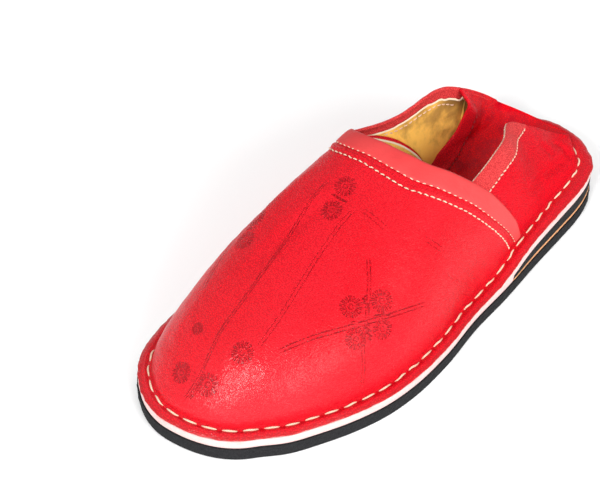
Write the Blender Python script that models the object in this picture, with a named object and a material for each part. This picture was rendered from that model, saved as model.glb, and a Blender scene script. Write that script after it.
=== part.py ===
"""A left-foot leather slipper with its heel trodden down, in metres, with the toe towards -Y."""

import bpy
import numpy as np

# Sizes of the whole shoe
LENGTH = 0.2855
BALL_WIDTH = 0.1112
CROWN_HEIGHT = 0.0700
TOE_SPRING = 0.0015

# Sheets of the sole
OUTSOLE_THICK = 0.0072
OUTSOLE_EDGE = 0.0008
MIDSOLE_THICK = 0.0048
LAYER_THICK = 0.0015
HEEL_RISE = 0.0103
THIN_EDGE = 0.0005
HEEL_LAYERS_END = 0.0960
INSOLE_THICK = 0.0018

# Leather of the upper
WALL = 0.0017
FLANGE_WIDTH = 0.0088
FLANGE_MARGIN = 0.0005
BAND_WIDTH = 0.0100
BAND_THICK = 0.0012

# Clearances
GAP = 0.0003
PANEL_CLEARANCE = 0.0007
INSOLE_INSET = 0.0036
BAND_FOOT = 0.006

# How finely the forms are divided
TOE_ROWS = 34
ARCH_COLUMNS = 26
NOTCH_COLUMN = 7
FRONT_COLUMNS = 6
BACK_COLUMNS = 40
PANEL_ROWS = 9
BAND_ROWS = 3
SOLE_STATIONS = 40
SOLE_COLUMNS = 4
OUTLINE_POINTS = 2400
END_STEPS = (0.0003, 0.0012, 0.0027)

# Plain colours of the pieces
RED = (0.72, 0.02, 0.03)
CORAL = (0.85, 0.10, 0.09)
PALE = (0.85, 0.78, 0.76)
TAN = (0.45, 0.30, 0.14)
ORANGE = (0.62, 0.27, 0.11)
BLACK = (0.02, 0.02, 0.022)

# Edge of the midsole, lateral side: share of length from the heel, share of ball width from the axis
LATERAL_EDGE = (
    # along, across
    (0.0000, 0.000),
    (0.0040, 0.095),
    (0.0189, 0.171),
    (0.0385, 0.240),
    (0.0770, 0.292),
    (0.1120, 0.316),
    (0.1680, 0.339),
    (0.2560, 0.371),
    (0.3570, 0.414),
    (0.4550, 0.445),
    (0.5530, 0.495),
    (0.6510, 0.515),
    (0.7005, 0.506),
    (0.7530, 0.477),
    (0.8230, 0.416),
    (0.8760, 0.357),
    (0.9100, 0.297),
    (0.9390, 0.246),
    (0.9630, 0.180),
    (0.9830, 0.090),
    (0.9940, 0.008),
    (1.0000, -0.081),
)

# Edge of the midsole, medial side, toe tip to heel
MEDIAL_EDGE = (
    # along, across
    (0.9960, -0.170),
    (0.9810, -0.262),
    (0.9630, -0.328),
    (0.9390, -0.382),
    (0.9110, -0.420),
    (0.8760, -0.450),
    (0.8230, -0.478),
    (0.7530, -0.492),
    (0.6850, -0.484),
    (0.6000, -0.440),
    (0.5000, -0.385),
    (0.4100, -0.350),
    (0.3100, -0.332),
    (0.2210, -0.332),
    (0.1680, -0.330),
    (0.1120, -0.312),
    (0.0770, -0.288),
    (0.0385, -0.240),
    (0.0189, -0.171),
    (0.0040, -0.095),
)

# Width of the turned-out edge as a share of its widest
FLANGE_WIDTHS = (
    # along, width
    (0.00, 1.00),
    (0.12, 1.00),
    (0.30, 0.84),
    (0.50, 0.76),
    (0.80, 0.72),
    (1.00, 0.74),
)

# Rise of the heel over the forefoot, and spring of the toe, both as shares
SOLE_LINE = (
    # along, rise, spring
    (0.000, 1.00, 0.00),
    (0.120, 0.96, 0.00),
    (0.230, 0.83, 0.00),
    (0.290, 0.67, 0.00),
    (0.335, 0.36, 0.00),
    (0.375, 0.13, 0.00),
    (0.440, 0.00, 0.00),
    (0.760, 0.00, 0.00),
    (0.880, 0.00, 0.30),
    (1.000, 0.00, 1.00),
)

# Ridge of the vamp and how full the arch is on either side of it
VAMP_LINE = (
    # along, height over the turned-out edge, across, lateral roundness, medial roundness, medial swell
    (0.240, 1.120, -0.190, 2.10, 3.20, 0.100),
    (0.400, 1.060, -0.185, 2.15, 3.30, 0.105),
    (0.480, 1.000, -0.170, 2.20, 3.20, 0.100),
    (0.570, 0.890, -0.150, 2.25, 2.80, 0.085),
    (0.640, 0.770, -0.130, 2.30, 2.60, 0.065),
    (0.720, 0.650, -0.105, 2.35, 2.50, 0.040),
    (0.790, 0.555, -0.080, 2.35, 2.45, 0.018),
    (0.840, 0.480, -0.062, 2.30, 2.40, 0.004),
    (0.880, 0.400, -0.055, 2.25, 2.30, 0.000),
    (0.925, 0.300, -0.060, 2.15, 2.20, 0.000),
    (0.960, 0.230, -0.072, 2.05, 2.05, 0.000),
    (0.980, 0.200, -0.081, 2.00, 2.00, 0.000),
)
TOE_ROUND_START = 0.86

# Collar edge of the vamp, lateral foot to medial foot
COLLAR_LINE = (
    # share of the arch, along
    (0.000, 0.287),
    (0.060, 0.308),
    (0.115, 0.330),
    (0.170, 0.353),
    (0.215, 0.371),
    (0.280, 0.401),
    (0.340, 0.427),
    (0.390, 0.448),
    (0.450, 0.462),
    (0.510, 0.470),
    (0.600, 0.472),
    (0.700, 0.460),
    (0.800, 0.425),
    (0.900, 0.355),
    (1.000, 0.290),
)

# Top of the side walls and fold of the back, round the heel from the vamp's lateral to its medial foot
CREST_LINE = (
    # share of the way round, along, across, height over the turned-out edge, outward swell of the wall
    (0.000, 0.389, 0.225, 0.740, 0.100),
    (0.050, 0.312, 0.165, 0.690, 0.095),
    (0.098, 0.259, 0.109, 0.640, 0.085),
    (0.148, 0.193, 0.000, 0.530, 0.075),
    (0.195, 0.147, 0.004, 0.400, 0.065),
    (0.245, 0.108, 0.012, 0.285, 0.055),
    (0.298, 0.072, 0.026, 0.170, 0.040),
    (0.350, 0.042, 0.060, 0.100, 0.020),
    (0.400, 0.028, 0.062, 0.070, 0.005),
    (0.450, 0.022, 0.030, 0.052, 0.000),
    (0.500, 0.022, -0.010, 0.046, 0.000),
    (0.550, 0.024, -0.045, 0.048, 0.000),
    (0.600, 0.028, -0.082, 0.052, 0.005),
    (0.650, 0.038, -0.140, 0.080, 0.010),
    (0.700, 0.055, -0.212, 0.125, 0.015),
    (0.750, 0.085, -0.270, 0.215, 0.025),
    (0.800, 0.125, -0.298, 0.360, 0.035),
    (0.852, 0.191, -0.305, 0.570, 0.045),
    (0.902, 0.240, -0.322, 0.650, 0.060),
    (0.950, 0.320, -0.332, 0.620, 0.075),
    (1.000, 0.420, -0.370, 0.640, 0.090),
)
LATERAL_TIP = 0.148
MEDIAL_TIP = 0.852
VALLEY_ACROSS = -0.150
TIP_REACH = 0.10
SHORT_RUN = 0.03

# Hem of the trodden-down back, lateral tip to medial tip
HEM_LINE = (
    # share of the way round, along, across, height over the footbed
    (0.148, 0.193, 0.000, 0.497),
    (0.165, 0.199, 0.012, 0.455),
    (0.185, 0.210, 0.035, 0.320),
    (0.210, 0.230, 0.062, 0.180),
    (0.245, 0.256, 0.088, 0.080),
    (0.290, 0.278, 0.100, 0.025),
    (0.350, 0.296, 0.090, 0.000),
    (0.420, 0.308, 0.030, 0.000),
    (0.500, 0.313, -0.050, 0.000),
    (0.580, 0.309, -0.125, 0.000),
    (0.660, 0.300, -0.190, 0.008),
    (0.700, 0.294, -0.234, 0.043),
    (0.728, 0.270, -0.255, 0.086),
    (0.755, 0.235, -0.261, 0.128),
    (0.778, 0.208, -0.259, 0.203),
    (0.795, 0.200, -0.248, 0.317),
    (0.812, 0.196, -0.229, 0.453),
    (0.832, 0.194, -0.272, 0.525),
    (0.852, 0.191, -0.305, 0.537),
)


def smooth(table, column, at):
    """Value of a table's column at the given shares, along a curve that runs smoothly through its rows."""
    rows = np.array(table)
    knots = rows[:, 0]
    values = rows[:, column]
    slopes = np.gradient(values, knots)
    level = np.diff(values) == 0
    slopes[:-1][level] = 0
    slopes[1:][level] = 0
    at = np.clip(at, knots[0], knots[-1])
    i = np.clip(np.searchsorted(knots, at, side="right") - 1, 0, len(knots) - 2)
    step = knots[i + 1] - knots[i]
    t = (at - knots[i]) / step
    start = (1 + 2 * t) * (1 - t) ** 2 * values[i] + t * (1 - t) ** 2 * step * slopes[i]
    end = t**2 * (3 - 2 * t) * values[i + 1] + t**2 * (t - 1) * step * slopes[i + 1]
    return start + end


def outline():
    """Closed edge of the midsole as dense points (across, along), heel first and up the lateral side."""
    edge = np.array(LATERAL_EDGE + MEDIAL_EDGE)
    points = np.stack([edge[:, 1] * BALL_WIDTH, edge[:, 0] * LENGTH], 1)
    ring = np.concatenate([points[-4:], points, points[:5]])
    knots = np.concatenate([[0.0], np.cumsum(np.linalg.norm(np.diff(ring, axis=0), axis=1))])
    at = np.linspace(knots[4], knots[4 + len(points)], OUTLINE_POINTS, endpoint=False)
    table = np.column_stack([knots, ring])
    return np.stack([smooth(table, 1, at), smooth(table, 2, at)], 1)


def inset(loop, depth):
    """Loop moved inwards by depth, which may differ from point to point."""
    along = np.roll(loop, -6, axis=0) - np.roll(loop, 6, axis=0)
    along /= np.linalg.norm(along, axis=1, keepdims=True)
    inward = np.stack([-along[:, 1], along[:, 0]], 1)
    return loop + inward * np.reshape(depth, (-1, 1))


def sides(loop):
    """Ends of a loop, and its place across at a distance along, on the lateral and on the medial side."""
    heel = int(np.argmin(loop[:, 1]))
    loop = np.roll(loop, -heel, axis=0)
    toe = int(np.argmax(loop[:, 1]))
    lateral = loop[: toe + 1]
    medial = np.concatenate([loop[toe:], loop[:1]])[::-1]
    ends = (loop[0, 1], loop[toe, 1])

    def across(side, along):
        """Place across of the given side at the given distances along."""
        return np.interp(along, side[:, 1], side[:, 0])

    return ends, lambda along: across(lateral, along), lambda along: across(medial, along)


EDGE = outline()
FOOT = inset(EDGE, FLANGE_WIDTH * smooth(FLANGE_WIDTHS, 1, EDGE[:, 1] / LENGTH))
FOOT_ENDS, FOOT_LATERAL, FOOT_MEDIAL = sides(FOOT)
TREAD = inset(EDGE, -OUTSOLE_EDGE)
ORIGIN = (TREAD.min(axis=0) + TREAD.max(axis=0)) / 2


def spring(along):
    """Height of the tread's underside above the floor."""
    return TOE_SPRING * smooth(SOLE_LINE, 2, along / LENGTH)


def outsole_top(along):
    """Height of the tread's upper face."""
    return spring(along) + OUTSOLE_THICK


def midsole_top(along):
    """Height of the face that the upper is stitched down to."""
    rise = HEEL_RISE * smooth(SOLE_LINE, 1, along / LENGTH)
    return outsole_top(along) + GAP + MIDSOLE_THICK + rise


def wedge_share(along):
    """1 at the heel, 0 at the front edge of the heel layers."""
    return np.clip(1 - along / HEEL_LAYERS_END, 0, 1)


def layer_bottom(along):
    """Height of the thin heel layer's underside."""
    return outsole_top(along) + GAP


def layer_top(along):
    """Height of the thin heel layer's upper face."""
    full = outsole_top(along) + GAP + LAYER_THICK
    thin = outsole_top(along) + GAP + THIN_EDGE
    return thin + (full - thin) * np.minimum(1, 4 * wedge_share(along))


def midsole_bottom(along):
    """Height of the midsole's underside, stepped down in front of the heel layers."""
    over_wedge = midsole_top(along) - MIDSOLE_THICK
    return np.where(along > HEEL_LAYERS_END + 1.5 * GAP, outsole_top(along) + GAP, over_wedge)


def wedge_bottom(along):
    """Height of the heel wedge's underside."""
    return layer_top(along) + GAP


def wedge_top(along):
    """Height of the heel wedge's upper face."""
    return midsole_bottom(along) - GAP


def insole_bottom(along):
    """Height of the footbed sheet's underside."""
    return midsole_top(along) + GAP


def insole_top(along):
    """Height of the footbed."""
    return midsole_top(along) + GAP + INSOLE_THICK


def place(across, along, height):
    """Points in the shoe's frame: origin under the middle of its length, toe towards -Y."""
    across, along, height = np.broadcast_arrays(across, along, height)
    return np.stack([across - ORIGIN[0], ORIGIN[1] - along, height], -1)


def foot_height(along):
    """Height of the turned-out edge's upper face."""
    return midsole_top(along) + GAP + WALL


def weld(points, faces):
    """Index of one point for each place, and the faces between these without repeated corners."""
    keys = np.round(points * 1e7).astype(np.int64)
    _, first, index = np.unique(keys, axis=0, return_index=True, return_inverse=True)
    index = index.reshape(-1)
    kept = []
    for face in faces:
        corners = [int(index[v]) for v in face]
        corners = [v for k, v in enumerate(corners) if v != corners[k - 1]]
        if len(set(corners)) > 2:
            kept.append(corners)
    return first, kept


def grid_faces(rows, columns, start):
    """Faces of a grid of points stored row after row."""
    cells = [start + i * columns + j for i in range(rows - 1) for j in range(columns - 1)]
    return [(a, a + 1, a + columns + 1, a + columns) for a in cells]


def rim_edges(faces):
    """Edges that belong to one face only, each in its face's direction."""
    directed = [(face[k - 1], face[k]) for face in faces for k in range(len(face))]
    known = set(directed)
    return [(a, b) for a, b in directed if (b, a) not in known]


def normals(points, faces):
    """Unit normal at each point, averaged over its faces by area."""
    total = np.zeros_like(points)
    for face in faces:
        corners = points[face]
        for k in range(1, len(face) - 1):
            total[face] += np.cross(corners[k] - corners[0], corners[k + 1] - corners[0])
    return total / np.maximum(np.linalg.norm(total, axis=1, keepdims=True), 1e-12)


def shell(points, faces, under):
    """Points and faces of the closed solid between a sheet and its other side, given point for point."""
    count = len(points)
    back = [[v + count for v in reversed(face)] for face in faces]
    rim = [[b, a, a + count, b + count] for a, b in rim_edges(faces)]
    return np.concatenate([points, under]), faces + back + rim


def add_object(name, points, faces, colour, roughness):
    """Adds an object with its own plain material, its faces turned outwards all together."""
    triangles = [(face[0], face[k], face[k + 1]) for face in faces for k in range(1, len(face) - 1)]
    if np.linalg.det(points[np.array(triangles)]).sum() < 0:
        faces = [face[::-1] for face in faces]
    mesh = bpy.data.meshes.new(name)
    mesh.from_pydata(points.tolist(), [], faces)
    material = bpy.data.materials.new(name + "_finish")
    material.use_nodes = True
    shader = material.node_tree.nodes["Principled BSDF"]
    shader.inputs["Base Color"].default_value = (*colour, 1.0)
    shader.inputs["Roughness"].default_value = roughness
    mesh.materials.append(material)
    obj = bpy.data.objects.new(name, mesh)
    bpy.context.scene.collection.objects.link(obj)


def stations(ends, until):
    """Distances along, closer together at the rounded ends."""
    turn = np.linspace(0, np.pi, SOLE_STATIONS)
    share = 0.5 * turn / np.pi + 0.5 * (1 - np.cos(turn)) / 2
    close = np.array(END_STEPS)
    along = np.concatenate([ends[0] + (ends[1] - ends[0]) * share, ends[0] + close, ends[1] - close])
    along = np.append(along[along < until - 0.001], min(until, ends[1]))
    return np.unique(np.round(along, 6))


def sole_sheet(name, loop, bottom, top, colour, until=np.inf, steps=()):
    """Sheet of the sole with the loop's outline, between two heights that depend on the distance along."""
    (heel, toe), lateral, medial = sides(loop)
    along = np.concatenate([stations((heel, toe), until), steps])
    along = np.unique(np.clip(along, heel, toe))
    middle = (lateral(along) + medial(along)) / 2
    at_end = (along < heel + 1e-5) | (along > toe - 1e-5)
    left = np.where(at_end, middle, lateral(along))
    right = np.where(at_end, middle, medial(along))
    width = np.linspace(0, 1, SOLE_COLUMNS + 1)
    across = left[:, None] + (right - left)[:, None] * width
    upper = place(across, along[:, None], top(along)[:, None]).reshape(-1, 3)
    lower = place(across, along[:, None], bottom(along)[:, None]).reshape(-1, 3)
    first, faces = weld(upper, grid_faces(len(along), SOLE_COLUMNS + 1, 0))
    add_object(name, *shell(upper[first], faces, lower[first]), colour, 0.7)


def arch(along, turn):
    """Points of the vamp's outer face; turn runs from 0 at the lateral foot to 1 at the medial foot."""
    along, turn = np.broadcast_arrays(along, turn)
    share = along / LENGTH
    near_toe = (share - TOE_ROUND_START) / (FOOT_ENDS[1] / LENGTH - TOE_ROUND_START)
    rounding = np.sqrt(1 - np.clip(near_toe, 0, 1) ** 2)
    rise = CROWN_HEIGHT * smooth(VAMP_LINE, 1, share) * rounding
    lateral = FOOT_LATERAL(along)
    medial = FOOT_MEDIAL(along)
    edge = 0.3 * (lateral - medial)
    ridge = np.clip(BALL_WIDTH * smooth(VAMP_LINE, 2, share), medial + edge, lateral - edge)
    angle = np.pi * np.minimum(turn, 1 - turn)
    on_lateral = turn <= 0.5
    power = np.where(on_lateral, smooth(VAMP_LINE, 3, share), smooth(VAMP_LINE, 4, share))
    reach = np.where(on_lateral, lateral - ridge, medial - ridge) * np.cos(angle) ** (2 / power)
    swell = np.where(on_lateral, 0, BALL_WIDTH * smooth(VAMP_LINE, 5, share))
    across = ridge + reach - swell * np.sin(2 * angle) ** 2
    return place(across, along, foot_height(along) + rise * np.sin(angle) ** (2 / power))


def collar_along(turn):
    """Distance along of the vamp's collar edge."""
    return LENGTH * smooth(COLLAR_LINE, 1, turn)


def vamp():
    """Grid of the vamp, collar edge to toe by lateral foot to medial foot."""
    turn = np.linspace(0, 1, ARCH_COLUMNS + 1)
    start = collar_along(turn)
    left = 1 - np.linspace(0, 1, TOE_ROWS + 1)
    along = start + (FOOT_ENDS[1] - start) * (1 - left[:, None] ** 1.55)
    grid = arch(along, turn)
    grid[-1] = grid[-1, ARCH_COLUMNS // 2]
    grid[-1, :, 2] = foot_height(FOOT_ENDS[1])
    return grid


def round_heel():
    """Shares of the way round the heel from collar foot to collar foot, with both tips among them."""
    front = np.linspace(0, LATERAL_TIP, FRONT_COLUMNS + 1)
    back = np.linspace(LATERAL_TIP, MEDIAL_TIP, BACK_COLUMNS + 1)[1:-1]
    return np.concatenate([front, back, np.linspace(MEDIAL_TIP, 1, FRONT_COLUMNS + 1)])


def walls(front):
    """Grid of the walls, foot to crest by the way round the heel, running on from the vamp's edge."""
    way = round_heel()
    heel = int(np.argmin(FOOT[:, 1]))
    loop = np.roll(FOOT, len(FOOT) // 2 - heel, axis=0)
    middle = len(FOOT) // 2
    before = loop[:middle][::-1]
    after = loop[middle:]
    start, end = collar_along(np.array([0.0, 1.0]))
    lateral = after[after[:, 1] < start][: len(after) // 2]
    medial = before[before[:, 1] < end][: len(before) // 2]
    path = np.concatenate([lateral[::-1], medial])
    length = np.concatenate([[0], np.cumsum(np.linalg.norm(np.diff(path, axis=0), axis=1))])
    at = way * length[-1]
    foot = np.stack([np.interp(at, length, path[:, 0]), np.interp(at, length, path[:, 1])], 1)
    outward = np.gradient(foot, axis=0)
    outward = np.stack([-outward[:, 1], outward[:, 0]], 1)
    outward /= np.linalg.norm(outward, axis=1, keepdims=True)
    crest_along = LENGTH * smooth(CREST_LINE, 1, way)
    crest_across = BALL_WIDTH * smooth(CREST_LINE, 2, way)
    crest_height = foot_height(crest_along) + CROWN_HEIGHT * smooth(CREST_LINE, 3, way)
    low = place(foot[:, 0], foot[:, 1], foot_height(foot[:, 1]))
    high = place(crest_across, crest_along, crest_height)
    share = np.linspace(0, 1, NOTCH_COLUMN + 1)[:, None, None]
    swell = CROWN_HEIGHT * smooth(CREST_LINE, 4, way)[:, None] * np.sin(np.pi * share) ** 0.8
    out = np.concatenate([outward[:, :1], -outward[:, 1:], np.zeros((len(way), 1))], 1)
    grid = low + (high - low) * share + out * swell
    lateral_front = front[: NOTCH_COLUMN + 1]
    medial_front = front[::-1][: NOTCH_COLUMN + 1]
    near = np.clip(1 - way / LATERAL_TIP, 0, 1)[:, None] ** 2
    far = np.clip(1 - (1 - way) / (1 - MEDIAL_TIP), 0, 1)[:, None] ** 2
    near_move = (lateral_front[:, None] - grid[:, :1]) * near
    far_move = (medial_front[:, None] - grid[:, -1:]) * far
    grid = grid + near_move + far_move
    grid[:, 0] = lateral_front
    grid[:, -1] = medial_front
    return grid


def panel(crest):
    """Grid of the trodden-down back, crest to hem by the way round from tip to tip."""
    way = round_heel()[FRONT_COLUMNS:-FRONT_COLUMNS]
    crest = crest[FRONT_COLUMNS:-FRONT_COLUMNS]
    start = np.stack([crest[:, 0] + ORIGIN[0], ORIGIN[1] - crest[:, 1]], 1)
    hem_along = LENGTH * smooth(HEM_LINE, 1, way)
    end = np.stack([BALL_WIDTH * smooth(HEM_LINE, 2, way), hem_along], 1)
    run = np.linalg.norm(end - start, axis=1)
    inwards = 0.6 * (BALL_WIDTH * VALLEY_ACROSS - start[:, 0]) * np.minimum(1, run / SHORT_RUN)
    control = start + 0.3 * (end - start) + np.stack([inwards, 0 * inwards], 1)
    share = np.linspace(0, 1, PANEL_ROWS + 1)[:, None, None] ** 1.15
    plan = (1 - share) ** 2 * start + 2 * share * (1 - share) * control + share**2 * end
    rest = PANEL_CLEARANCE + WALL
    lift = crest[:, 2] - insole_top(start[:, 1]) - rest
    hem_lift = CROWN_HEIGHT * smooth(HEM_LINE, 3, way)
    share = share[:, :, 0]
    slack = np.clip(np.minimum(way - LATERAL_TIP, MEDIAL_TIP - way) / TIP_REACH, 0, 1)
    from_crest = lift * (1 - share) ** (1 + 1.4 * slack)
    height = insole_top(plan[:, :, 1]) + rest + from_crest + hem_lift * share ** (1 + slack)
    grid = place(plan[:, :, 0], plan[:, :, 1], height)
    grid[0] = crest
    grid[:, 0] = crest[0]
    grid[:, -1] = crest[-1]
    return grid


def turned_out_edge(body, sides_grid):
    """Grid of the turned-out edge round the whole foot of the upper, and its underside."""
    foot = np.concatenate([body[::-1, 0], sides_grid[0, 1:-1], body[:, -1]])
    plan = foot[:-1, :2]
    along = np.roll(plan, -1, axis=0) - np.roll(plan, 1, axis=0)
    along /= np.linalg.norm(along, axis=1, keepdims=True)
    outward = np.stack([along[:, 1], -along[:, 0]], 1)
    width = FLANGE_WIDTH * smooth(FLANGE_WIDTHS, 1, (ORIGIN[1] - plan[:, 1]) / LENGTH) - FLANGE_MARGIN
    outer = plan + outward * width[:, None]
    outer_low = midsole_top(ORIGIN[1] - outer[:, 1]) + GAP
    foot_low = midsole_top(ORIGIN[1] - plan[:, 1]) + GAP
    upper = np.stack([foot[:-1], np.column_stack([outer, outer_low + WALL])], 1)
    inner = plan - outward * WALL
    lower = np.stack([np.column_stack([inner, foot_low]), np.column_stack([outer, outer_low])], 1)
    return np.concatenate([upper, upper[:1]]), np.concatenate([lower, lower[:1]])


def add_upper():
    """Adds the upper as one hollow solid: vamp, walls, trodden-down back and turned-out edge."""
    body = vamp()
    side = walls(body[0])
    edge, edge_under = turned_out_edge(body, side)
    grids = [edge, body, side, panel(side[-1])]
    faces = []
    count = 0
    for grid in grids:
        faces.append(grid_faces(*grid.shape[:2], count))
        count += grid.shape[0] * grid.shape[1]
    points = np.concatenate([grid.reshape(-1, 3) for grid in grids])
    first, welded = weld(points, sum(faces, []))
    points = points[first]
    under = points - WALL * normals(points, welded[len(faces[0]) :])
    on_edge = first < edge.shape[0] * 2
    under[on_edge] = edge_under.reshape(-1, 3)[first[on_edge]]
    add_object("upper", *shell(points, welded, under), RED, 0.35)


def add_band():
    """Adds the collar band over the vamp's edge, lifted off the vamp's own face by the gap."""
    turn = np.linspace(0, 1, ARCH_COLUMNS + 1)
    turn[0] = BAND_FOOT
    turn[-1] = 1 - BAND_FOOT
    along = collar_along(turn) + BAND_WIDTH * np.linspace(0, 1, BAND_ROWS + 1)[:, None]
    step = 1e-5
    forward = arch(along + step, turn) - arch(along - step, turn)
    over = arch(along, turn + step) - arch(along, turn - step)
    outward = np.cross(over, forward)
    outward /= np.linalg.norm(outward, axis=2, keepdims=True)
    face = arch(along, turn)
    upper = (face + (GAP + BAND_THICK) * outward).reshape(-1, 3)
    lower = (face + GAP * outward).reshape(-1, 3)
    faces = [list(f) for f in grid_faces(BAND_ROWS + 1, ARCH_COLUMNS + 1, 0)]
    add_object("collar_band", *shell(upper, faces, lower), CORAL, 0.5)


def build():
    """Builds every piece of the slipper."""
    for obj in list(bpy.data.objects):
        bpy.data.objects.remove(obj)
    steps = (HEEL_LAYERS_END, HEEL_LAYERS_END + GAP, HEEL_LAYERS_END + 2 * GAP)
    sole_sheet("outsole", TREAD, spring, outsole_top, BLACK)
    sole_sheet("heel_layer", EDGE, layer_bottom, layer_top, ORANGE, until=HEEL_LAYERS_END)
    sole_sheet("heel_wedge", EDGE, wedge_bottom, wedge_top, BLACK, until=HEEL_LAYERS_END)
    sole_sheet("midsole", EDGE, midsole_bottom, midsole_top, PALE, steps=steps)
    sole_sheet("insole", inset(FOOT, INSOLE_INSET), insole_bottom, insole_top, TAN)
    add_upper()
    add_band()


build()
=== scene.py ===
"""Dresses the trodden-down leather slipper: leather, lining, thread, soles, floor, light and camera."""

import logging
from dataclasses import dataclass, field
from enum import Enum
from typing import Callable, Union

import bpy
import numpy as np
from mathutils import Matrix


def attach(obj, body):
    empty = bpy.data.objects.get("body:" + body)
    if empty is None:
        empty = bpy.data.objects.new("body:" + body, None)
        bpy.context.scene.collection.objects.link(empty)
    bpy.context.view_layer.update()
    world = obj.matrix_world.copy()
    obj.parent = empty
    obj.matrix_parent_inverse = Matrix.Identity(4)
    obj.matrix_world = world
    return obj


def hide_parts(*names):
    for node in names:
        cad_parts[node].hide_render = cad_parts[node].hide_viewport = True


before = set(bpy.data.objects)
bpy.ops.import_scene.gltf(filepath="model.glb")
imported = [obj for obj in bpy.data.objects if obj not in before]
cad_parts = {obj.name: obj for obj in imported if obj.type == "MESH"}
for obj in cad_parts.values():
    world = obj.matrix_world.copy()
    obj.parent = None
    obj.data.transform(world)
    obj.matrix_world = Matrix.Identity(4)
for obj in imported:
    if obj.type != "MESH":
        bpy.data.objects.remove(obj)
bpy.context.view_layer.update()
LOG = logging.getLogger("slipper")

Array = np.ndarray
Table = tuple[tuple[float, ...], ...]
Socket = bpy.types.NodeSocket
Value = Union[float, Socket]
Colour = tuple[float, float, float]
Knots = tuple[tuple[float, float], ...]
FLOAT = "NodeSocketFloat"
VECTOR = "NodeSocketVector"


class Part(Enum):
    """Parts of the upper that a crease can lie on."""

    VAMP = "vamp"
    WALL = "wall"
    BACK = "back"


@dataclass(frozen=True)
class Crease:
    """Soft fold through given points. Its points are share of the arch and along on the vamp, else share of
    the way round and share of the rows, foot to fold on the wall and fold to hem on the back."""

    part: Part
    width: float
    depth: float
    knots: Knots


@dataclass(frozen=True)
class TooledLine:
    """Pair of grooves through points given as share of the arch and along; lines of a set do not cross."""

    spacing: float
    depth: float
    group: int
    knots: Knots


# Edge of the midsole, lateral side: share of length from the heel, share of ball width from the axis
LATERAL_EDGE: Table = (
    # along, across
    (0.0000, 0.000),
    (0.0040, 0.095),
    (0.0189, 0.171),
    (0.0385, 0.240),
    (0.0770, 0.292),
    (0.1120, 0.316),
    (0.1680, 0.339),
    (0.2560, 0.371),
    (0.3570, 0.414),
    (0.4550, 0.445),
    (0.5530, 0.495),
    (0.6510, 0.515),
    (0.7005, 0.506),
    (0.7530, 0.477),
    (0.8230, 0.416),
    (0.8760, 0.357),
    (0.9100, 0.297),
    (0.9390, 0.246),
    (0.9630, 0.180),
    (0.9830, 0.090),
    (0.9940, 0.008),
    (1.0000, -0.081),
)

# Edge of the midsole, medial side, toe tip to heel
MEDIAL_EDGE: Table = (
    # along, across
    (0.9960, -0.170),
    (0.9810, -0.262),
    (0.9630, -0.328),
    (0.9390, -0.382),
    (0.9110, -0.420),
    (0.8760, -0.450),
    (0.8230, -0.478),
    (0.7530, -0.492),
    (0.6850, -0.484),
    (0.6000, -0.440),
    (0.5000, -0.385),
    (0.4100, -0.350),
    (0.3100, -0.332),
    (0.2210, -0.332),
    (0.1680, -0.330),
    (0.1120, -0.312),
    (0.0770, -0.288),
    (0.0385, -0.240),
    (0.0189, -0.171),
    (0.0040, -0.095),
)

# Width of the turned-out edge as a share of its widest
FLANGE_WIDTHS: Table = (
    # along, width
    (0.00, 1.00),
    (0.12, 1.00),
    (0.30, 0.84),
    (0.50, 0.76),
    (0.80, 0.72),
    (1.00, 0.74),
)

# Rise of the heel over the forefoot, and spring of the toe, both as shares
SOLE_LINE: Table = (
    # along, rise, spring
    (0.000, 1.00, 0.00),
    (0.120, 0.96, 0.00),
    (0.230, 0.83, 0.00),
    (0.290, 0.67, 0.00),
    (0.335, 0.36, 0.00),
    (0.375, 0.13, 0.00),
    (0.440, 0.00, 0.00),
    (0.760, 0.00, 0.00),
    (0.880, 0.00, 0.30),
    (1.000, 0.00, 1.00),
)

# Ridge of the vamp and how full the arch is on either side of it
VAMP_LINE: Table = (
    # along, height over the turned-out edge, across, lateral roundness, medial roundness, medial swell
    (0.240, 1.120, -0.190, 2.10, 3.20, 0.100),
    (0.400, 1.060, -0.185, 2.15, 3.30, 0.105),
    (0.480, 1.000, -0.170, 2.20, 3.20, 0.100),
    (0.570, 0.890, -0.150, 2.25, 2.80, 0.085),
    (0.640, 0.770, -0.130, 2.30, 2.60, 0.065),
    (0.720, 0.650, -0.105, 2.35, 2.50, 0.040),
    (0.790, 0.555, -0.080, 2.35, 2.45, 0.018),
    (0.840, 0.480, -0.062, 2.30, 2.40, 0.004),
    (0.880, 0.400, -0.055, 2.25, 2.30, 0.000),
    (0.925, 0.300, -0.060, 2.15, 2.20, 0.000),
    (0.960, 0.230, -0.072, 2.05, 2.05, 0.000),
    (0.980, 0.200, -0.081, 2.00, 2.00, 0.000),
)
# Collar edge of the vamp, lateral foot to medial foot
COLLAR_LINE: Table = (
    # share of the arch, along
    (0.000, 0.287),
    (0.060, 0.308),
    (0.115, 0.330),
    (0.170, 0.353),
    (0.215, 0.371),
    (0.280, 0.401),
    (0.340, 0.427),
    (0.390, 0.448),
    (0.450, 0.462),
    (0.510, 0.470),
    (0.600, 0.472),
    (0.700, 0.460),
    (0.800, 0.425),
    (0.900, 0.355),
    (1.000, 0.290),
)

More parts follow.
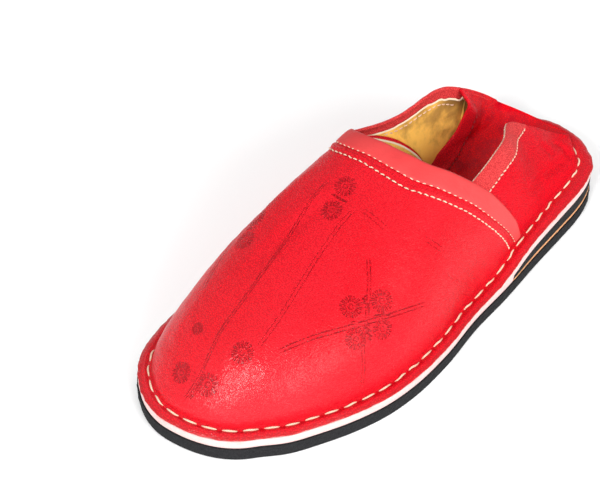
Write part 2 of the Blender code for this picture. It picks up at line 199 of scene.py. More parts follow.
# Top of the side walls and fold of the back, from the vamp's lateral notch round the heel to the medial one
CREST_LINE: Table = (
    # share of the way round, along, across, height over the turned-out edge, outward swell of the wall
    (0.000, 0.389, 0.225, 0.740, 0.100),
    (0.050, 0.312, 0.165, 0.690, 0.095),
    (0.098, 0.259, 0.109, 0.640, 0.085),
    (0.148, 0.193, 0.000, 0.530, 0.075),
    (0.195, 0.147, 0.004, 0.400, 0.065),
    (0.245, 0.108, 0.012, 0.285, 0.055),
    (0.298, 0.072, 0.026, 0.170, 0.040),
    (0.350, 0.042, 0.060, 0.100, 0.020),
    (0.400, 0.028, 0.062, 0.070, 0.005),
    (0.450, 0.022, 0.030, 0.052, 0.000),
    (0.500, 0.022, -0.010, 0.046, 0.000),
    (0.550, 0.024, -0.045, 0.048, 0.000),
    (0.600, 0.028, -0.082, 0.052, 0.005),
    (0.650, 0.038, -0.140, 0.080, 0.010),
    (0.700, 0.055, -0.212, 0.125, 0.015),
    (0.750, 0.085, -0.270, 0.215, 0.025),
    (0.800, 0.125, -0.298, 0.360, 0.035),
    (0.852, 0.191, -0.305, 0.570, 0.045),
    (0.902, 0.240, -0.322, 0.650, 0.060),
    (0.950, 0.320, -0.332, 0.620, 0.075),
    (1.000, 0.420, -0.370, 0.640, 0.090),
)
# Hem of the trodden-down back, lateral tip to medial tip
HEM_LINE: Table = (
    # share of the way round, along, across, height over the footbed
    (0.148, 0.193, 0.000, 0.497),
    (0.165, 0.199, 0.012, 0.455),
    (0.185, 0.210, 0.035, 0.320),
    (0.210, 0.230, 0.062, 0.180),
    (0.245, 0.256, 0.088, 0.080),
    (0.290, 0.278, 0.100, 0.025),
    (0.350, 0.296, 0.090, 0.000),
    (0.420, 0.308, 0.030, 0.000),
    (0.500, 0.313, -0.050, 0.000),
    (0.580, 0.309, -0.125, 0.000),
    (0.660, 0.300, -0.190, 0.008),
    (0.700, 0.294, -0.234, 0.043),
    (0.728, 0.270, -0.255, 0.086),
    (0.755, 0.235, -0.261, 0.128),
    (0.778, 0.208, -0.259, 0.203),
    (0.795, 0.200, -0.248, 0.317),
    (0.812, 0.196, -0.229, 0.453),
    (0.832, 0.194, -0.272, 0.525),
    (0.852, 0.191, -0.305, 0.537),
)

# Distance of the two stitch rows from the collar edge, measured along the shoe
COLLAR_ROWS: Table = (
    # share of the arch, upper row, lower row
    (0.000, 0.0040, 0.0090),
    (0.120, 0.0074, 0.0121),
    (0.250, 0.0096, 0.0153),
    (0.350, 0.0104, 0.0163),
    (0.520, 0.0087, 0.0136),
    (0.750, 0.0092, 0.0142),
    (0.900, 0.0076, 0.0125),
    (1.000, 0.0045, 0.0092),
)

# Stamped flowers, as share of the arch and distance from the heel
FLOWERS: Table = (
    # share of the arch, along, radius
    (0.498, 0.1617, 0.0057),
    (0.481, 0.1741, 0.0057),
    (0.289, 0.1989, 0.0057),
    (0.239, 0.1852, 0.0060),
    (0.205, 0.2050, 0.0057),
    (0.176, 0.1913, 0.0057),
    (0.399, 0.2478, 0.0057),
    (0.546, 0.2683, 0.0056),
    (0.392, 0.2653, 0.0060),
    (0.591, 0.2518, 0.0032),
    (0.660, 0.2060, 0.0057),
    (0.700, 0.1930, 0.0057),
)

# Lines tooled into the vamp
TOOLED_LINES = (
    TooledLine(
        0.0012, 0.75, 0,
        (
            (0.556, 0.1615), (0.519, 0.1966), (0.508, 0.2244),
            (0.502, 0.2505), (0.456, 0.2652), (0.401, 0.2747),
        ),
    ),
    TooledLine(0.0010, 0.80, 1, ((0.444, 0.2645), (0.375, 0.2732))),
    TooledLine(0.0018, 0.55, 1, ((0.447, 0.1675), (0.439, 0.1954), (0.418, 0.2163), (0.376, 0.2425))),
    TooledLine(0.0018, 1.00, 0, ((0.318, 0.2364), (0.274, 0.2151), (0.131, 0.1643))),
    TooledLine(0.0014, 0.75, 1, ((0.345, 0.1780), (0.232, 0.1959), (0.164, 0.2041), (0.030, 0.2099))),
    TooledLine(0.0022, 0.50, 0, ((0.430, 0.1652), (0.357, 0.1638))),
    TooledLine(0.0022, 0.55, 0, ((0.261, 0.1503), (0.208, 0.1448))),
    TooledLine(0.0018, 0.70, 0, ((0.690, 0.2364), (0.730, 0.2151), (0.860, 0.1643))),
    TooledLine(0.0014, 0.70, 1, ((0.660, 0.1780), (0.768, 0.1959), (0.836, 0.2041), (0.960, 0.2099))),
)

# Soft folds of the leather
CREASES = (
    Crease(Part.WALL, 0.0026, 0.0016, ((0.144, 0.362), (0.203, 0.400), (0.276, 0.427), (0.345, 0.520))),
    Crease(Part.WALL, 0.0022, 0.0010, ((0.071, 0.444), (0.122, 0.375), (0.170, 0.344))),
    Crease(Part.WALL, 0.0030, 0.0006, ((0.163, 0.680), (0.132, 0.634), (0.107, 0.606), (0.080, 0.500))),
    Crease(Part.WALL, 0.0024, 0.0008, ((0.270, 0.820), (0.310, 0.640), (0.335, 0.350))),
    Crease(Part.WALL, 0.0022, 0.0006, ((0.215, 0.780), (0.245, 0.560))),
    Crease(Part.WALL, 0.0026, 0.0007, ((0.800, 0.300), (0.860, 0.400), (0.930, 0.380))),
    Crease(Part.WALL, 0.0028, 0.0007, ((0.700, 0.800), (0.760, 0.560), (0.800, 0.420))),
    Crease(Part.BACK, 0.0026, 0.0009, ((0.800, 0.160), (0.788, 0.420), (0.765, 0.660), (0.738, 0.880))),
    Crease(Part.BACK, 0.0030, 0.0008, ((0.715, 0.140), (0.690, 0.330), (0.640, 0.520))),
    Crease(Part.BACK, 0.0026, 0.0007, ((0.620, 0.200), (0.560, 0.330), (0.480, 0.380))),
    Crease(Part.BACK, 0.0026, 0.0008, ((0.240, 0.200), (0.270, 0.380), (0.330, 0.560))),
    Crease(Part.BACK, 0.0024, 0.0007, ((0.350, 0.240), (0.430, 0.300), (0.520, 0.270))),
    Crease(Part.VAMP, 0.0016, 0.0005, ((0.150, 0.1440), (0.118, 0.1420), (0.092, 0.1370))),
    Crease(Part.VAMP, 0.0014, 0.0004, ((0.128, 0.1480), (0.100, 0.1455))),
    Crease(Part.VAMP, 0.0016, 0.0004, ((0.262, 0.1500), (0.214, 0.1455))),
    Crease(Part.VAMP, 0.0036, 0.0006, ((0.470, 0.1560), (0.520, 0.1900), (0.560, 0.2300))),
    Crease(Part.VAMP, 0.0034, 0.0006, ((0.700, 0.1500), (0.740, 0.1800), (0.745, 0.2150))),
)


def smooth(table: Table, column: int, at: Array) -> Array:
    """Reads a table along a curve that runs smoothly through its rows.

    Between two rows the value is the cubic that has the rows' values and slopes; level rows stay level.

    Args:
        table: rows of numbers, the first of each being its place.
        column: which number of the rows is read.
        at: places to read at.

    Returns:
        The values at these places.
    """
    rows = np.array(table)
    knots = rows[:, 0]
    values = rows[:, column]
    slopes = np.gradient(values, knots)
    level = np.diff(values) == 0
    slopes[:-1][level] = 0
    slopes[1:][level] = 0
    at = np.clip(at, knots[0], knots[-1])
    i = np.clip(np.searchsorted(knots, at, side="right") - 1, 0, len(knots) - 2)
    step = knots[i + 1] - knots[i]
    t = (at - knots[i]) / step
    start = (1 + 2 * t) * (1 - t) ** 2 * values[i] + t * (1 - t) ** 2 * step * slopes[i]
    end = t**2 * (3 - 2 * t) * values[i + 1] + t**2 * (t - 1) * step * slopes[i + 1]
    return start + end


def through(knots: Knots, count: int) -> tuple[Array, Array]:
    """First and second numbers of evenly spaced places on a smooth curve through a line's points."""
    table = tuple((k / (len(knots) - 1), *knot) for k, knot in enumerate(knots))
    share = np.linspace(0, 1, count)
    return smooth(table, 1, share), smooth(table, 2, share)


def unit(vectors: Array) -> Array:
    """Vectors of length one in the same directions."""
    return vectors / np.maximum(np.linalg.norm(vectors, axis=-1, keepdims=True), 1e-12)


def ease(low: float, high: float, at: Array) -> Array:
    """Rises from 0 at low to 1 at high with level ends: three t squared less two t cubed."""
    t = np.clip((at - low) / (high - low), 0, 1)
    return t * t * (3 - 2 * t)


def ripple(points: Array, size: float, seed: int) -> Array:
    """Gives soft unevenness with lumps of about the given size.

    It is the mean of seven sine waves that cross the points in seeded random directions.

    Args:
        points: places, one per row.
        size: distance from lump to lump.
        seed: number that fixes the waves.

    Returns:
        A value between about -1 and 1 for each place.
    """
    rng = np.random.default_rng(seed)
    turn = unit(rng.normal(size=(7, points.shape[-1]))) * (2 * np.pi / size)
    turn *= rng.uniform(0.7, 1.5, (7, 1))
    return np.sin(points @ turn.T + rng.uniform(0, 2 * np.pi, 7)).mean(axis=-1) * 1.6


def distance_to(points: Array, line: Array) -> Array:
    """Shortest distance from each point to a line of points.

    Each distance is to the nearest place on the nearest straight piece, worked out in blocks of points.

    Args:
        points: places, one per row.
        line: points of the line in order.

    Returns:
        One distance per point.
    """
    start = line[:-1]
    run = line[1:] - start
    square = np.maximum((run**2).sum(axis=1), 1e-18)
    blocks = []
    for block in np.array_split(points, max(1, len(points) // 3000)):
        away = block[:, None] - start
        share = np.clip((away * run).sum(axis=2) / square, 0, 1)
        blocks.append(np.linalg.norm(away - share[:, :, None] * run, axis=2).min(axis=1))
    return np.concatenate(blocks)


@dataclass(frozen=True)
class Sizes:
    """Named sizes of the slipper, in metres, the same as its solids have."""

    length: float = 0.2855
    ball_width: float = 0.1112
    crown_height: float = 0.0700
    toe_spring: float = 0.0015
    outsole_thick: float = 0.0072
    outsole_edge: float = 0.0008
    midsole_thick: float = 0.0048
    layer_thick: float = 0.0015
    heel_rise: float = 0.0103
    thin_edge: float = 0.0005
    heel_layers_end: float = 0.0960
    insole_thick: float = 0.0018
    wall: float = 0.0017
    flange_width: float = 0.0088
    flange_margin: float = 0.0005
    gap: float = 0.0003
    panel_clearance: float = 0.0007
    insole_inset: float = 0.0036
    lateral_tip: float = 0.148
    medial_tip: float = 0.852
    valley_across: float = -0.150
    tip_reach: float = 0.10
    toe_round_start: float = 0.86


class Last:
    """Form that the slipper is made on: outline, heights of the sole, vamp, walls and trodden-down back."""

    def __init__(self, sizes: Sizes) -> None:
        """Works out the outlines once, from the named sizes."""
        self.sizes = sizes
        self.edge = self.outline()
        share = self.edge[:, 1] / sizes.length
        self.foot = self.inset(self.edge, sizes.flange_width * smooth(FLANGE_WIDTHS, 1, share))
        self.foot_ends, self.foot_lateral, self.foot_medial = self.sides(self.foot)
        self.tread = self.inset(self.edge, -sizes.outsole_edge)
        self.origin = (self.tread.min(axis=0) + self.tread.max(axis=0)) / 2

    def outline(self) -> Array:
        """Closed edge of the midsole as dense points (across, along), smooth through the edge tables."""
        edge = np.array(LATERAL_EDGE + MEDIAL_EDGE)
        points = np.stack([edge[:, 1] * self.sizes.ball_width, edge[:, 0] * self.sizes.length], 1)
        ring = np.concatenate([points[-4:], points, points[:5]])
        knots = np.concatenate([[0.0], np.cumsum(np.linalg.norm(np.diff(ring, axis=0), axis=1))])
        at = np.linspace(knots[4], knots[4 + len(points)], 2400, endpoint=False)
        table = np.column_stack([knots, ring])
        return np.stack([smooth(table, 1, at), smooth(table, 2, at)], 1)

    def inset(self, loop: Array, depth: Union[float, Array]) -> Array:
        """Loop moved inwards, square to itself, by a depth that may differ from point to point."""
        along = unit(np.roll(loop, -6, axis=0) - np.roll(loop, 6, axis=0))
        inward = np.stack([-along[:, 1], along[:, 0]], 1)
        return loop + inward * np.reshape(depth, (-1, 1))

    def sides(self, loop: Array) -> tuple[tuple[float, float], Callable, Callable]:
        """Splits a loop at heel and toe.

        Args:
            loop: closed line of (across, along).

        Returns:
            Its two ends, and across as a function of along for the lateral and for the medial side.
        """
        loop = np.roll(loop, -int(np.argmin(loop[:, 1])), axis=0)
        toe = int(np.argmax(loop[:, 1]))
        lateral = loop[: toe + 1]
        medial = np.concatenate([loop[toe:], loop[:1]])[::-1]
        ends = (loop[0, 1], loop[toe, 1])
        return (
            ends,
            lambda along: np.interp(along, lateral[:, 1], lateral[:, 0]),
            lambda along: np.interp(along, medial[:, 1], medial[:, 0]),
        )

    def spring(self, along: Array) -> Array:
        """Height of the tread's underside above the floor."""
        return self.sizes.toe_spring * smooth(SOLE_LINE, 2, along / self.sizes.length)

    def outsole_top(self, along: Array) -> Array:
        """Height of the tread's upper face."""
        return self.spring(along) + self.sizes.outsole_thick

    def midsole_top(self, along: Array) -> Array:
        """Height of the face that the upper is stitched down to."""
        rise = self.sizes.heel_rise * smooth(SOLE_LINE, 1, along / self.sizes.length)
        return self.outsole_top(along) + self.sizes.gap + self.sizes.midsole_thick + rise

    def layer_top(self, along: Array) -> Array:
        """Height of the thin heel layer's upper face, which thins out at its front edge."""
        share = np.clip(1 - along / self.sizes.heel_layers_end, 0, 1)
        under = self.outsole_top(along) + self.sizes.gap
        thick = self.sizes.layer_thick - self.sizes.thin_edge
        return under + self.sizes.thin_edge + thick * np.minimum(1, 4 * share)

    def midsole_bottom(self, along: Array) -> Array:
        """Height of the midsole's underside, stepped down in front of the heel layers."""
        front = along > self.sizes.heel_layers_end + 1.5 * self.sizes.gap
        over_wedge = self.midsole_top(along) - self.sizes.midsole_thick
        return np.where(front, self.outsole_top(along) + self.sizes.gap, over_wedge)

    def insole_top(self, along: Array) -> Array:
        """Height of the footbed."""
        return self.midsole_top(along) + self.sizes.gap + self.sizes.insole_thick

    def foot_height(self, along: Array) -> Array:
        """Height of the turned-out edge's upper face."""
        return self.midsole_top(along) + self.sizes.gap + self.sizes.wall

    def place(self, across: Array, along: Array, height: Array) -> Array:
        """Points in the slipper's frame: origin under the middle of its length, toe towards -Y."""
        across, along, height = np.broadcast_arrays(across, along, height)
        return np.stack([across - self.origin[0], self.origin[1] - along, height], -1)

    def arch(self, along: Array, turn: Array) -> Array:
        """Works out points of the vamp's outer face.

        At each distance along, the face is two rounded quarter curves that meet on the ridge, with
        across and height as powers of the cosine and the sine of the way round. The medial side swells.

        Args:
            along: distance from the heel.
            turn: 0 at the lateral foot, a half on the ridge, 1 at the medial foot.

        Returns:
            The points.
        """
        along, turn = np.broadcast_arrays(along, turn)
        sizes = self.sizes
        share = along / sizes.length
        start = sizes.toe_round_start
        near_toe = (share - start) / (self.foot_ends[1] / sizes.length - start)
        rounding = np.sqrt(1 - np.clip(near_toe, 0, 1) ** 2)
        rise = sizes.crown_height * smooth(VAMP_LINE, 1, share) * rounding
        lateral = self.foot_lateral(along)
        medial = self.foot_medial(along)
        edge = 0.3 * (lateral - medial)
        ridge = np.clip(sizes.ball_width * smooth(VAMP_LINE, 2, share), medial + edge, lateral - edge)
        angle = np.pi * np.minimum(turn, 1 - turn)
        on_lateral = turn <= 0.5
        power = np.where(on_lateral, smooth(VAMP_LINE, 3, share), smooth(VAMP_LINE, 4, share))
        reach = np.where(on_lateral, lateral - ridge, medial - ridge) * np.abs(np.cos(angle)) ** (2 / power)
        swell = np.where(on_lateral, 0, sizes.ball_width * smooth(VAMP_LINE, 5, share))
        across = ridge + reach - swell * np.sin(2 * angle) ** 2
        return self.place(across, along, self.foot_height(along) + rise * np.sin(angle) ** (2 / power))

    def arch_frame(self, along: Array, turn: Array) -> tuple[Array, Array, Array]:
        """Point, direction towards the toe and outward direction on the vamp, by small steps."""
        step = 1e-4
        turn = np.clip(turn, step, 1 - step)
        forward = unit(self.arch(along + step, turn) - self.arch(along - step, turn))
        over = self.arch(along, turn + step) - self.arch(along, turn - step)
        return self.arch(along, turn), forward, unit(np.cross(over, forward))

    def collar_along(self, turn: Array) -> Array:
        """Distance along of the vamp's collar edge."""
        return self.sizes.length * smooth(COLLAR_LINE, 1, turn)


@dataclass
class Sheet:
    """Surface of triangles with named values at its points."""

    points: Array
    faces: Array
    marks: dict[str, Array] = field(default_factory=dict)

    @classmethod
    def from_grids(cls, grids: list[Array], marks: dict[str, list[Array]]) -> "Sheet":
        """Joins grids of points into one surface where their points meet.

        Each cell of four neighbouring points gives two triangles, and triangles without area are dropped.

        Args:
            grids: points as rows by columns by three.
            marks: for each name, one array of rows by columns per grid.

        Returns:
            The joined surface.
        """
        corners = []
        count = 0
        for grid in grids:
            index = np.arange(grid.shape[0] * grid.shape[1]).reshape(grid.shape[:2]) + count
            cell = np.stack([index[:-1, :-1], index[:-1, 1:], index[1:, 1:], index[1:, :-1]], -1)
            corners.append(cell.reshape(-1, 4))
            count += index.size
        cells = np.concatenate(corners)
        points = np.concatenate([grid.reshape(-1, 3) for grid in grids])
        keys = np.round(points * 1e7).astype(np.int64)
        _, first, index = np.unique(keys, axis=0, return_index=True, return_inverse=True)
        cells = index.reshape(-1)[cells]
        faces = np.concatenate([cells[:, [0, 1, 2]], cells[:, [0, 2, 3]]])
        alike = (faces == np.roll(faces, 1, axis=1)).any(axis=1)
        flat = {name: np.concatenate([part.reshape(-1) for part in parts]) for name, parts in marks.items()}
        values = {name: value[first] for name, value in flat.items()}
        return cls(points[first], faces[~alike], values)

    def normals(self) -> Array:
        """Unit normal at each point, the mean of its triangles by area."""
        corner = self.points[self.faces]
        square = np.cross(corner[:, 1] - corner[:, 0], corner[:, 2] - corner[:, 0])
        total = np.zeros_like(self.points)
        np.add.at(total, self.faces.reshape(-1), np.repeat(square, 3, axis=0))
        return unit(total)

    def border(self) -> Array:
        """Edges that one triangle alone has, each in its triangle's direction."""
        edges = np.concatenate([self.faces[:, [0, 1]], self.faces[:, [1, 2]], self.faces[:, [2, 0]]])
        count = len(self.points)
        back = edges[:, 1] * count + edges[:, 0]
        return edges[~np.isin(edges[:, 0] * count + edges[:, 1], back)]

    def thicken(self, under: Array, rings: int, bulge: Callable[[float, Array], Array]) -> "Sheet":
        """Closes the space between the surface and its other side with a shaped rim.

        Each border point has a row of ring points on the straight way to its other side, pushed outwards
        by the bulge, square to the border.

        Args:
            under: the other side, point for point.
            rings: number of rings between the two sides.
            bulge: distance outwards for a share of the way and the border points.

        Returns:
            The closed surface, with the mark inner running from 0 to 1 through the rim.
        """
        count = len(self.points)
        edges = self.border()
        used = np.unique(edges)
        run = np.zeros_like(self.points)
        step = self.points[edges[:, 1]] - self.points[edges[:, 0]]
        np.add.at(run, edges[:, 0], step)
        np.add.at(run, edges[:, 1], step)
        through = (under - self.points)[used]
        outward = unit(np.cross(unit(through), unit(run[used])))
        shares = np.arange(1, rings + 1) / (rings + 1)
        blocks = [self.points, under]
        inner = [np.zeros(count), np.ones(count)]
        for share in shares:
            reach = bulge(share, self.points[used])[:, None]
            blocks.append(self.points[used] + through * share + outward * reach)
            inner.append(np.full(len(used), share))
        order = np.zeros(count, int)
        order[used] = np.arange(len(used))
        levels = [edges, *[2 * count + k * len(used) + order[edges] for k in range(rings)], edges + count]
        faces = [self.faces, self.faces[:, ::-1] + count]
        for high, low in zip(levels[:-1], levels[1:]):
            faces.append(np.stack([high[:, 1], high[:, 0], low[:, 0]], 1))
            faces.append(np.stack([high[:, 1], low[:, 0], low[:, 1]], 1))
        marks = {k: np.concatenate([v, v, *[v[used]] * rings]) for k, v in self.marks.items()}
        marks["inner"] = np.concatenate(inner)
        return Sheet(np.concatenate(blocks), np.concatenate(faces), marks)

    def add(self, name: str, finish: "Finish", sharp: float = 0.9) -> bpy.types.Object:
        """Puts the surface into a mesh object.

        Args:
            name: the object's name.
            finish: the finish that its material is made from.
            sharp: angle between triangles, in radians, from which their edge is sharp.

        Returns:
            The object, at the origin.
        """
        faces = self.faces
        if np.linalg.det(self.points[faces]).sum() < 0:
            faces = faces[:, ::-1]
        mesh = bpy.data.meshes.new(name)
        mesh.from_pydata(self.points.tolist(), [], faces.tolist())
        for mark, values in self.marks.items():
            mesh.attributes.new(mark, "FLOAT", "POINT").data.foreach_set("value", values.astype(np.float32))
        mesh.polygons.foreach_set("use_smooth", np.ones(len(faces), bool))
        mesh.set_sharp_from_angle(angle=sharp)
        mesh.materials.append(finish.material())
        obj = bpy.data.objects.new(name, mesh)
        bpy.context.scene.collection.objects.link(obj)
        LOG.info("%s: %d triangles", name, len(faces))
        return obj


class Nodes:
    """Adds and links the nodes of one node tree."""

    def __init__(self, tree: bpy.types.NodeTree) -> None:
        """Keeps the tree."""
        self.tree = tree

    def add(self, kind: str, **settings: object) -> bpy.types.Node:
        """Adds a node of a kind and sets its properties."""
        node = self.tree.nodes.new(kind)
        for name, value in settings.items():
            setattr(node, name, value)
        return node

    def put(self, socket: Socket, value: object) -> None:
        """Links a socket to another, or sets its value."""
        if isinstance(value, bpy.types.NodeSocket):
            self.tree.links.new(value, socket)
        elif value is not None:
            socket.default_value = value

    def math(self, operation: str, a: Value, b: Value = 0.0, c: Value = 0.0) -> Socket:
        """Result of a math node."""
        node = self.add("ShaderNodeMath", operation=operation)
        for socket, value in zip(node.inputs, (a, b, c)):
            self.put(socket, value)
        return node.outputs[0]

    def vector(self, operation: str, a: object, b: object = None) -> bpy.types.Node:
        """Vector math node with its first two inputs set."""
        node = self.add("ShaderNodeVectorMath", operation=operation)
        self.put(node.inputs[0], a)
        self.put(node.inputs[1], b)
        return node

    def span(self, value: Value, low: Value, high: Value, start: float = 0.0, end: float = 1.0) -> Socket:
        """Value carried from one span to another with soft ends, clamped."""
        node = self.add("ShaderNodeMapRange", interpolation_type="SMOOTHSTEP")
        for socket, given in zip(node.inputs, (value, low, high, start, end)):
            self.put(socket, given)
        return node.outputs[0]

    def mix(self, share: Value, a: object, b: object) -> Socket:
        """Colour between two colours."""
        node = self.add("ShaderNodeMix", data_type="RGBA")
        self.put(node.inputs[0], share)
        self.put(node.inputs[6], (*a, 1.0) if isinstance(a, tuple) else a)
        self.put(node.inputs[7], (*b, 1.0) if isinstance(b, tuple) else b)
        return node.outputs[2]

    def blend(self, share: Value, a: Value, b: Value) -> Socket:
        """Number between two numbers."""
        node = self.add("ShaderNodeMix", data_type="FLOAT")
        for socket, value in zip((node.inputs[0], node.inputs[2], node.inputs[3]), (share, a, b)):
            self.put(socket, value)
        return node.outputs[0]

    def noise(self, place: Socket, scale: float, detail: float = 2.0, rough: float = 0.5) -> Socket:
        """Noise value at a place."""
        node = self.add("ShaderNodeTexNoise")
        self.put(node.inputs["Vector"], place)
        self.put(node.inputs["Scale"], scale)
        self.put(node.inputs["Detail"], detail)
        self.put(node.inputs["Roughness"], rough)
        return node.outputs[0]

    def mark(self, name: str) -> Socket:
        """Value of a named mark at the surface."""
        return self.add("ShaderNodeAttribute", attribute_name=name).outputs["Fac"]

    def place(self) -> Socket:
        """Place on the object, in metres."""
        return self.add("ShaderNodeTexCoord").outputs["Object"]

    def bump(self, height: Socket, depth: float, strength: float = 1.0, under: object = None) -> Socket:
        """Normal for a height from 0 to 1 that is depth metres deep, over another normal if given."""
        node = self.add("ShaderNodeBump")
        node.inputs["Strength"].default_value = strength
        node.inputs["Distance"].default_value = depth
        self.put(node.inputs["Height"], height)
        self.put(node.inputs["Normal"], under)
        return node.outputs[0]

    def group(self, tree: bpy.types.NodeTree, **values: object) -> bpy.types.Node:
        """Places a node group with values for its inputs, whose names have spaces for underscores."""
        node = self.add("ShaderNodeGroup", node_tree=tree)
        for name, value in values.items():
            self.put(node.inputs[name.replace("_", " ")], value)
        return node


class Effects:
    """Shared effects, each a node group that is built once."""

    @staticmethod
    def start(
        name: str, takes: dict[str, str], gives: dict[str, str]
    ) -> tuple[bpy.types.NodeTree, Nodes, dict, dict]:
        """Starts a node group with named inputs and outputs.

        Args:
            name: the group's name.
            takes: kind of socket by the name of each input.
            gives: kind of socket by the name of each output.

        Returns:
            The group, its node helper, and its input and output sockets by name.
        """
        tree = bpy.data.node_groups.new(name, "ShaderNodeTree")
        for label, kind in takes.items():
            tree.interface.new_socket(label, in_out="INPUT", socket_type=kind)
        for label, kind in gives.items():
            tree.interface.new_socket(label, in_out="OUTPUT", socket_type=kind)
        nodes = Nodes(tree)
        source = nodes.add("NodeGroupInput").outputs
        target = nodes.add("NodeGroupOutput").inputs
        return tree, nodes, {k: source[k] for k in takes}, {k: target[k] for k in gives}

    @classmethod
    def grain(cls) -> bpy.types.NodeTree:
        """Pebbled leather grain: small cells with soft furrows, broken up by finer and broader noise."""
        if "Grain" in bpy.data.node_groups:
            return bpy.data.node_groups["Grain"]
        tree, n, at, to = cls.start("Grain", {"Place": VECTOR}, {"Height": FLOAT, "Cloud": FLOAT})
        warp = n.add("ShaderNodeTexNoise")
        n.put(warp.inputs["Vector"], at["Place"])
        n.put(warp.inputs["Scale"], 500.0)
        bent = n.vector("SCALE", warp.outputs["Color"])
        bent.inputs["Scale"].default_value = 0.0011
        moved = n.vector("ADD", at["Place"], bent.outputs[0]).outputs[0]
        cells = n.add("ShaderNodeTexVoronoi", feature="DISTANCE_TO_EDGE")
        n.put(cells.inputs["Vector"], moved)
        n.put(cells.inputs["Scale"], 950.0)
        pebble = n.span(cells.outputs["Distance"], 0.0, 0.32)
        fine = n.noise(at["Place"], 1700.0, 3.0, 0.6)
        cloud = n.noise(at["Place"], 28.0, 3.0, 0.55)
        n.put(to["Height"], n.math("ADD", n.math("MULTIPLY", pebble, 0.6), n.math("MULTIPLY", fine, 0.4)))
        n.put(to["Cloud"], cloud)
        return tree

    @classmethod
    def flower(cls) -> bpy.types.NodeTree:
        """Stamped flower: a pressed eye and ring of petals, from the place in radii from its centre."""
        if "Stamped flower" in bpy.data.node_groups:
            return bpy.data.node_groups["Stamped flower"]
        takes = {"Right": FLOAT, "Up": FLOAT}
        tree, n, at, to = cls.start("Stamped flower", takes, {"Height": FLOAT})
        square = n.math("MULTIPLY_ADD", at["Right"], at["Right"], n.math("MULTIPLY", at["Up"], at["Up"]))
        away = n.math("SQRT", square)
        turn = n.math("ARCTAN2", at["Up"], at["Right"])
        lobes = n.math("ABSOLUTE", n.math("SINE", n.math("MULTIPLY", turn, 7.0)))
        petals = n.span(n.math("ABSOLUTE", n.math("SUBTRACT", lobes, 0.55)), 0.42, 0.10)
        ring = n.math("MULTIPLY", n.span(away, 0.36, 0.46), n.span(away, 1.0, 0.84))
        eye = n.math("MULTIPLY", n.span(away, 0.10, 0.17), n.span(away, 0.30, 0.22))
        n.put(to["Height"], n.math("MULTIPLY_ADD", petals, ring, n.math("MULTIPLY", eye, 0.9)))
        return tree

    @classmethod
    def tooled_pair(cls) -> bpy.types.NodeTree:
        """Tooled pair of lines: a narrow groove at half the spacing on either side of the line."""
        if "Tooled pair" in bpy.data.node_groups:
            return bpy.data.node_groups["Tooled pair"]
        takes = {"Side": FLOAT, "Half": FLOAT, "Depth": FLOAT}
        tree, n, at, to = cls.start("Tooled pair", takes, {"Height": FLOAT})
        off = n.math("ABSOLUTE", n.math("SUBTRACT", n.math("ABSOLUTE", at["Side"]), at["Half"]))
        n.put(to["Height"], n.math("MULTIPLY", n.span(off, 0.00042, 0.00005), at["Depth"]))
        return tree

    @classmethod
    def cut_edge(cls) -> bpy.types.NodeTree:
        """Rough cut side of a sheet: coarse tears and fine fuzz."""
        if "Cut edge" in bpy.data.node_groups:
            return bpy.data.node_groups["Cut edge"]
        tree, n, at, to = cls.start("Cut edge", {"Place": VECTOR}, {"Height": FLOAT, "Fuzz": FLOAT})
        stretch = n.vector("MULTIPLY", at["Place"], (1.0, 1.0, 2.2)).outputs[0]
        coarse = n.noise(stretch, 420.0, 4.0, 0.65)
        fuzz = n.noise(at["Place"], 2200.0, 2.0, 0.6)
        n.put(to["Height"], n.blend(0.45, coarse, fuzz))
        n.put(to["Fuzz"], n.span(fuzz, 0.35, 0.75))
        return tree


@dataclass(frozen=True)
class Finish:
    """Base of the finishes: a named material with one Principled shader."""

    name: str
    colour: Colour
    rough: float = 0.5
    coat: float = 0.0
    shine: float = 0.5

    def material(self) -> bpy.types.Material:
        """The finish's material, made on first use."""
        known = bpy.data.materials.get(self.name)
        if known:
            return known
        made = bpy.data.materials.new(self.name)
        made.use_nodes = True
        nodes = Nodes(made.node_tree)
        shader = made.node_tree.nodes["Principled BSDF"]
        shader.inputs["Base Color"].default_value = (*self.colour, 1.0)
        shader.inputs["Roughness"].default_value = self.rough
        shader.inputs["Coat Weight"].default_value = self.coat
        shader.inputs["Coat Roughness"].default_value = 0.22
        shader.inputs["Specular IOR Level"].default_value = self.shine
        self.dress(nodes, shader)
        return made

    def dress(self, n: Nodes, shader: bpy.types.Node) -> None:
        """Links colour, roughness and relief; a plain finish has none."""


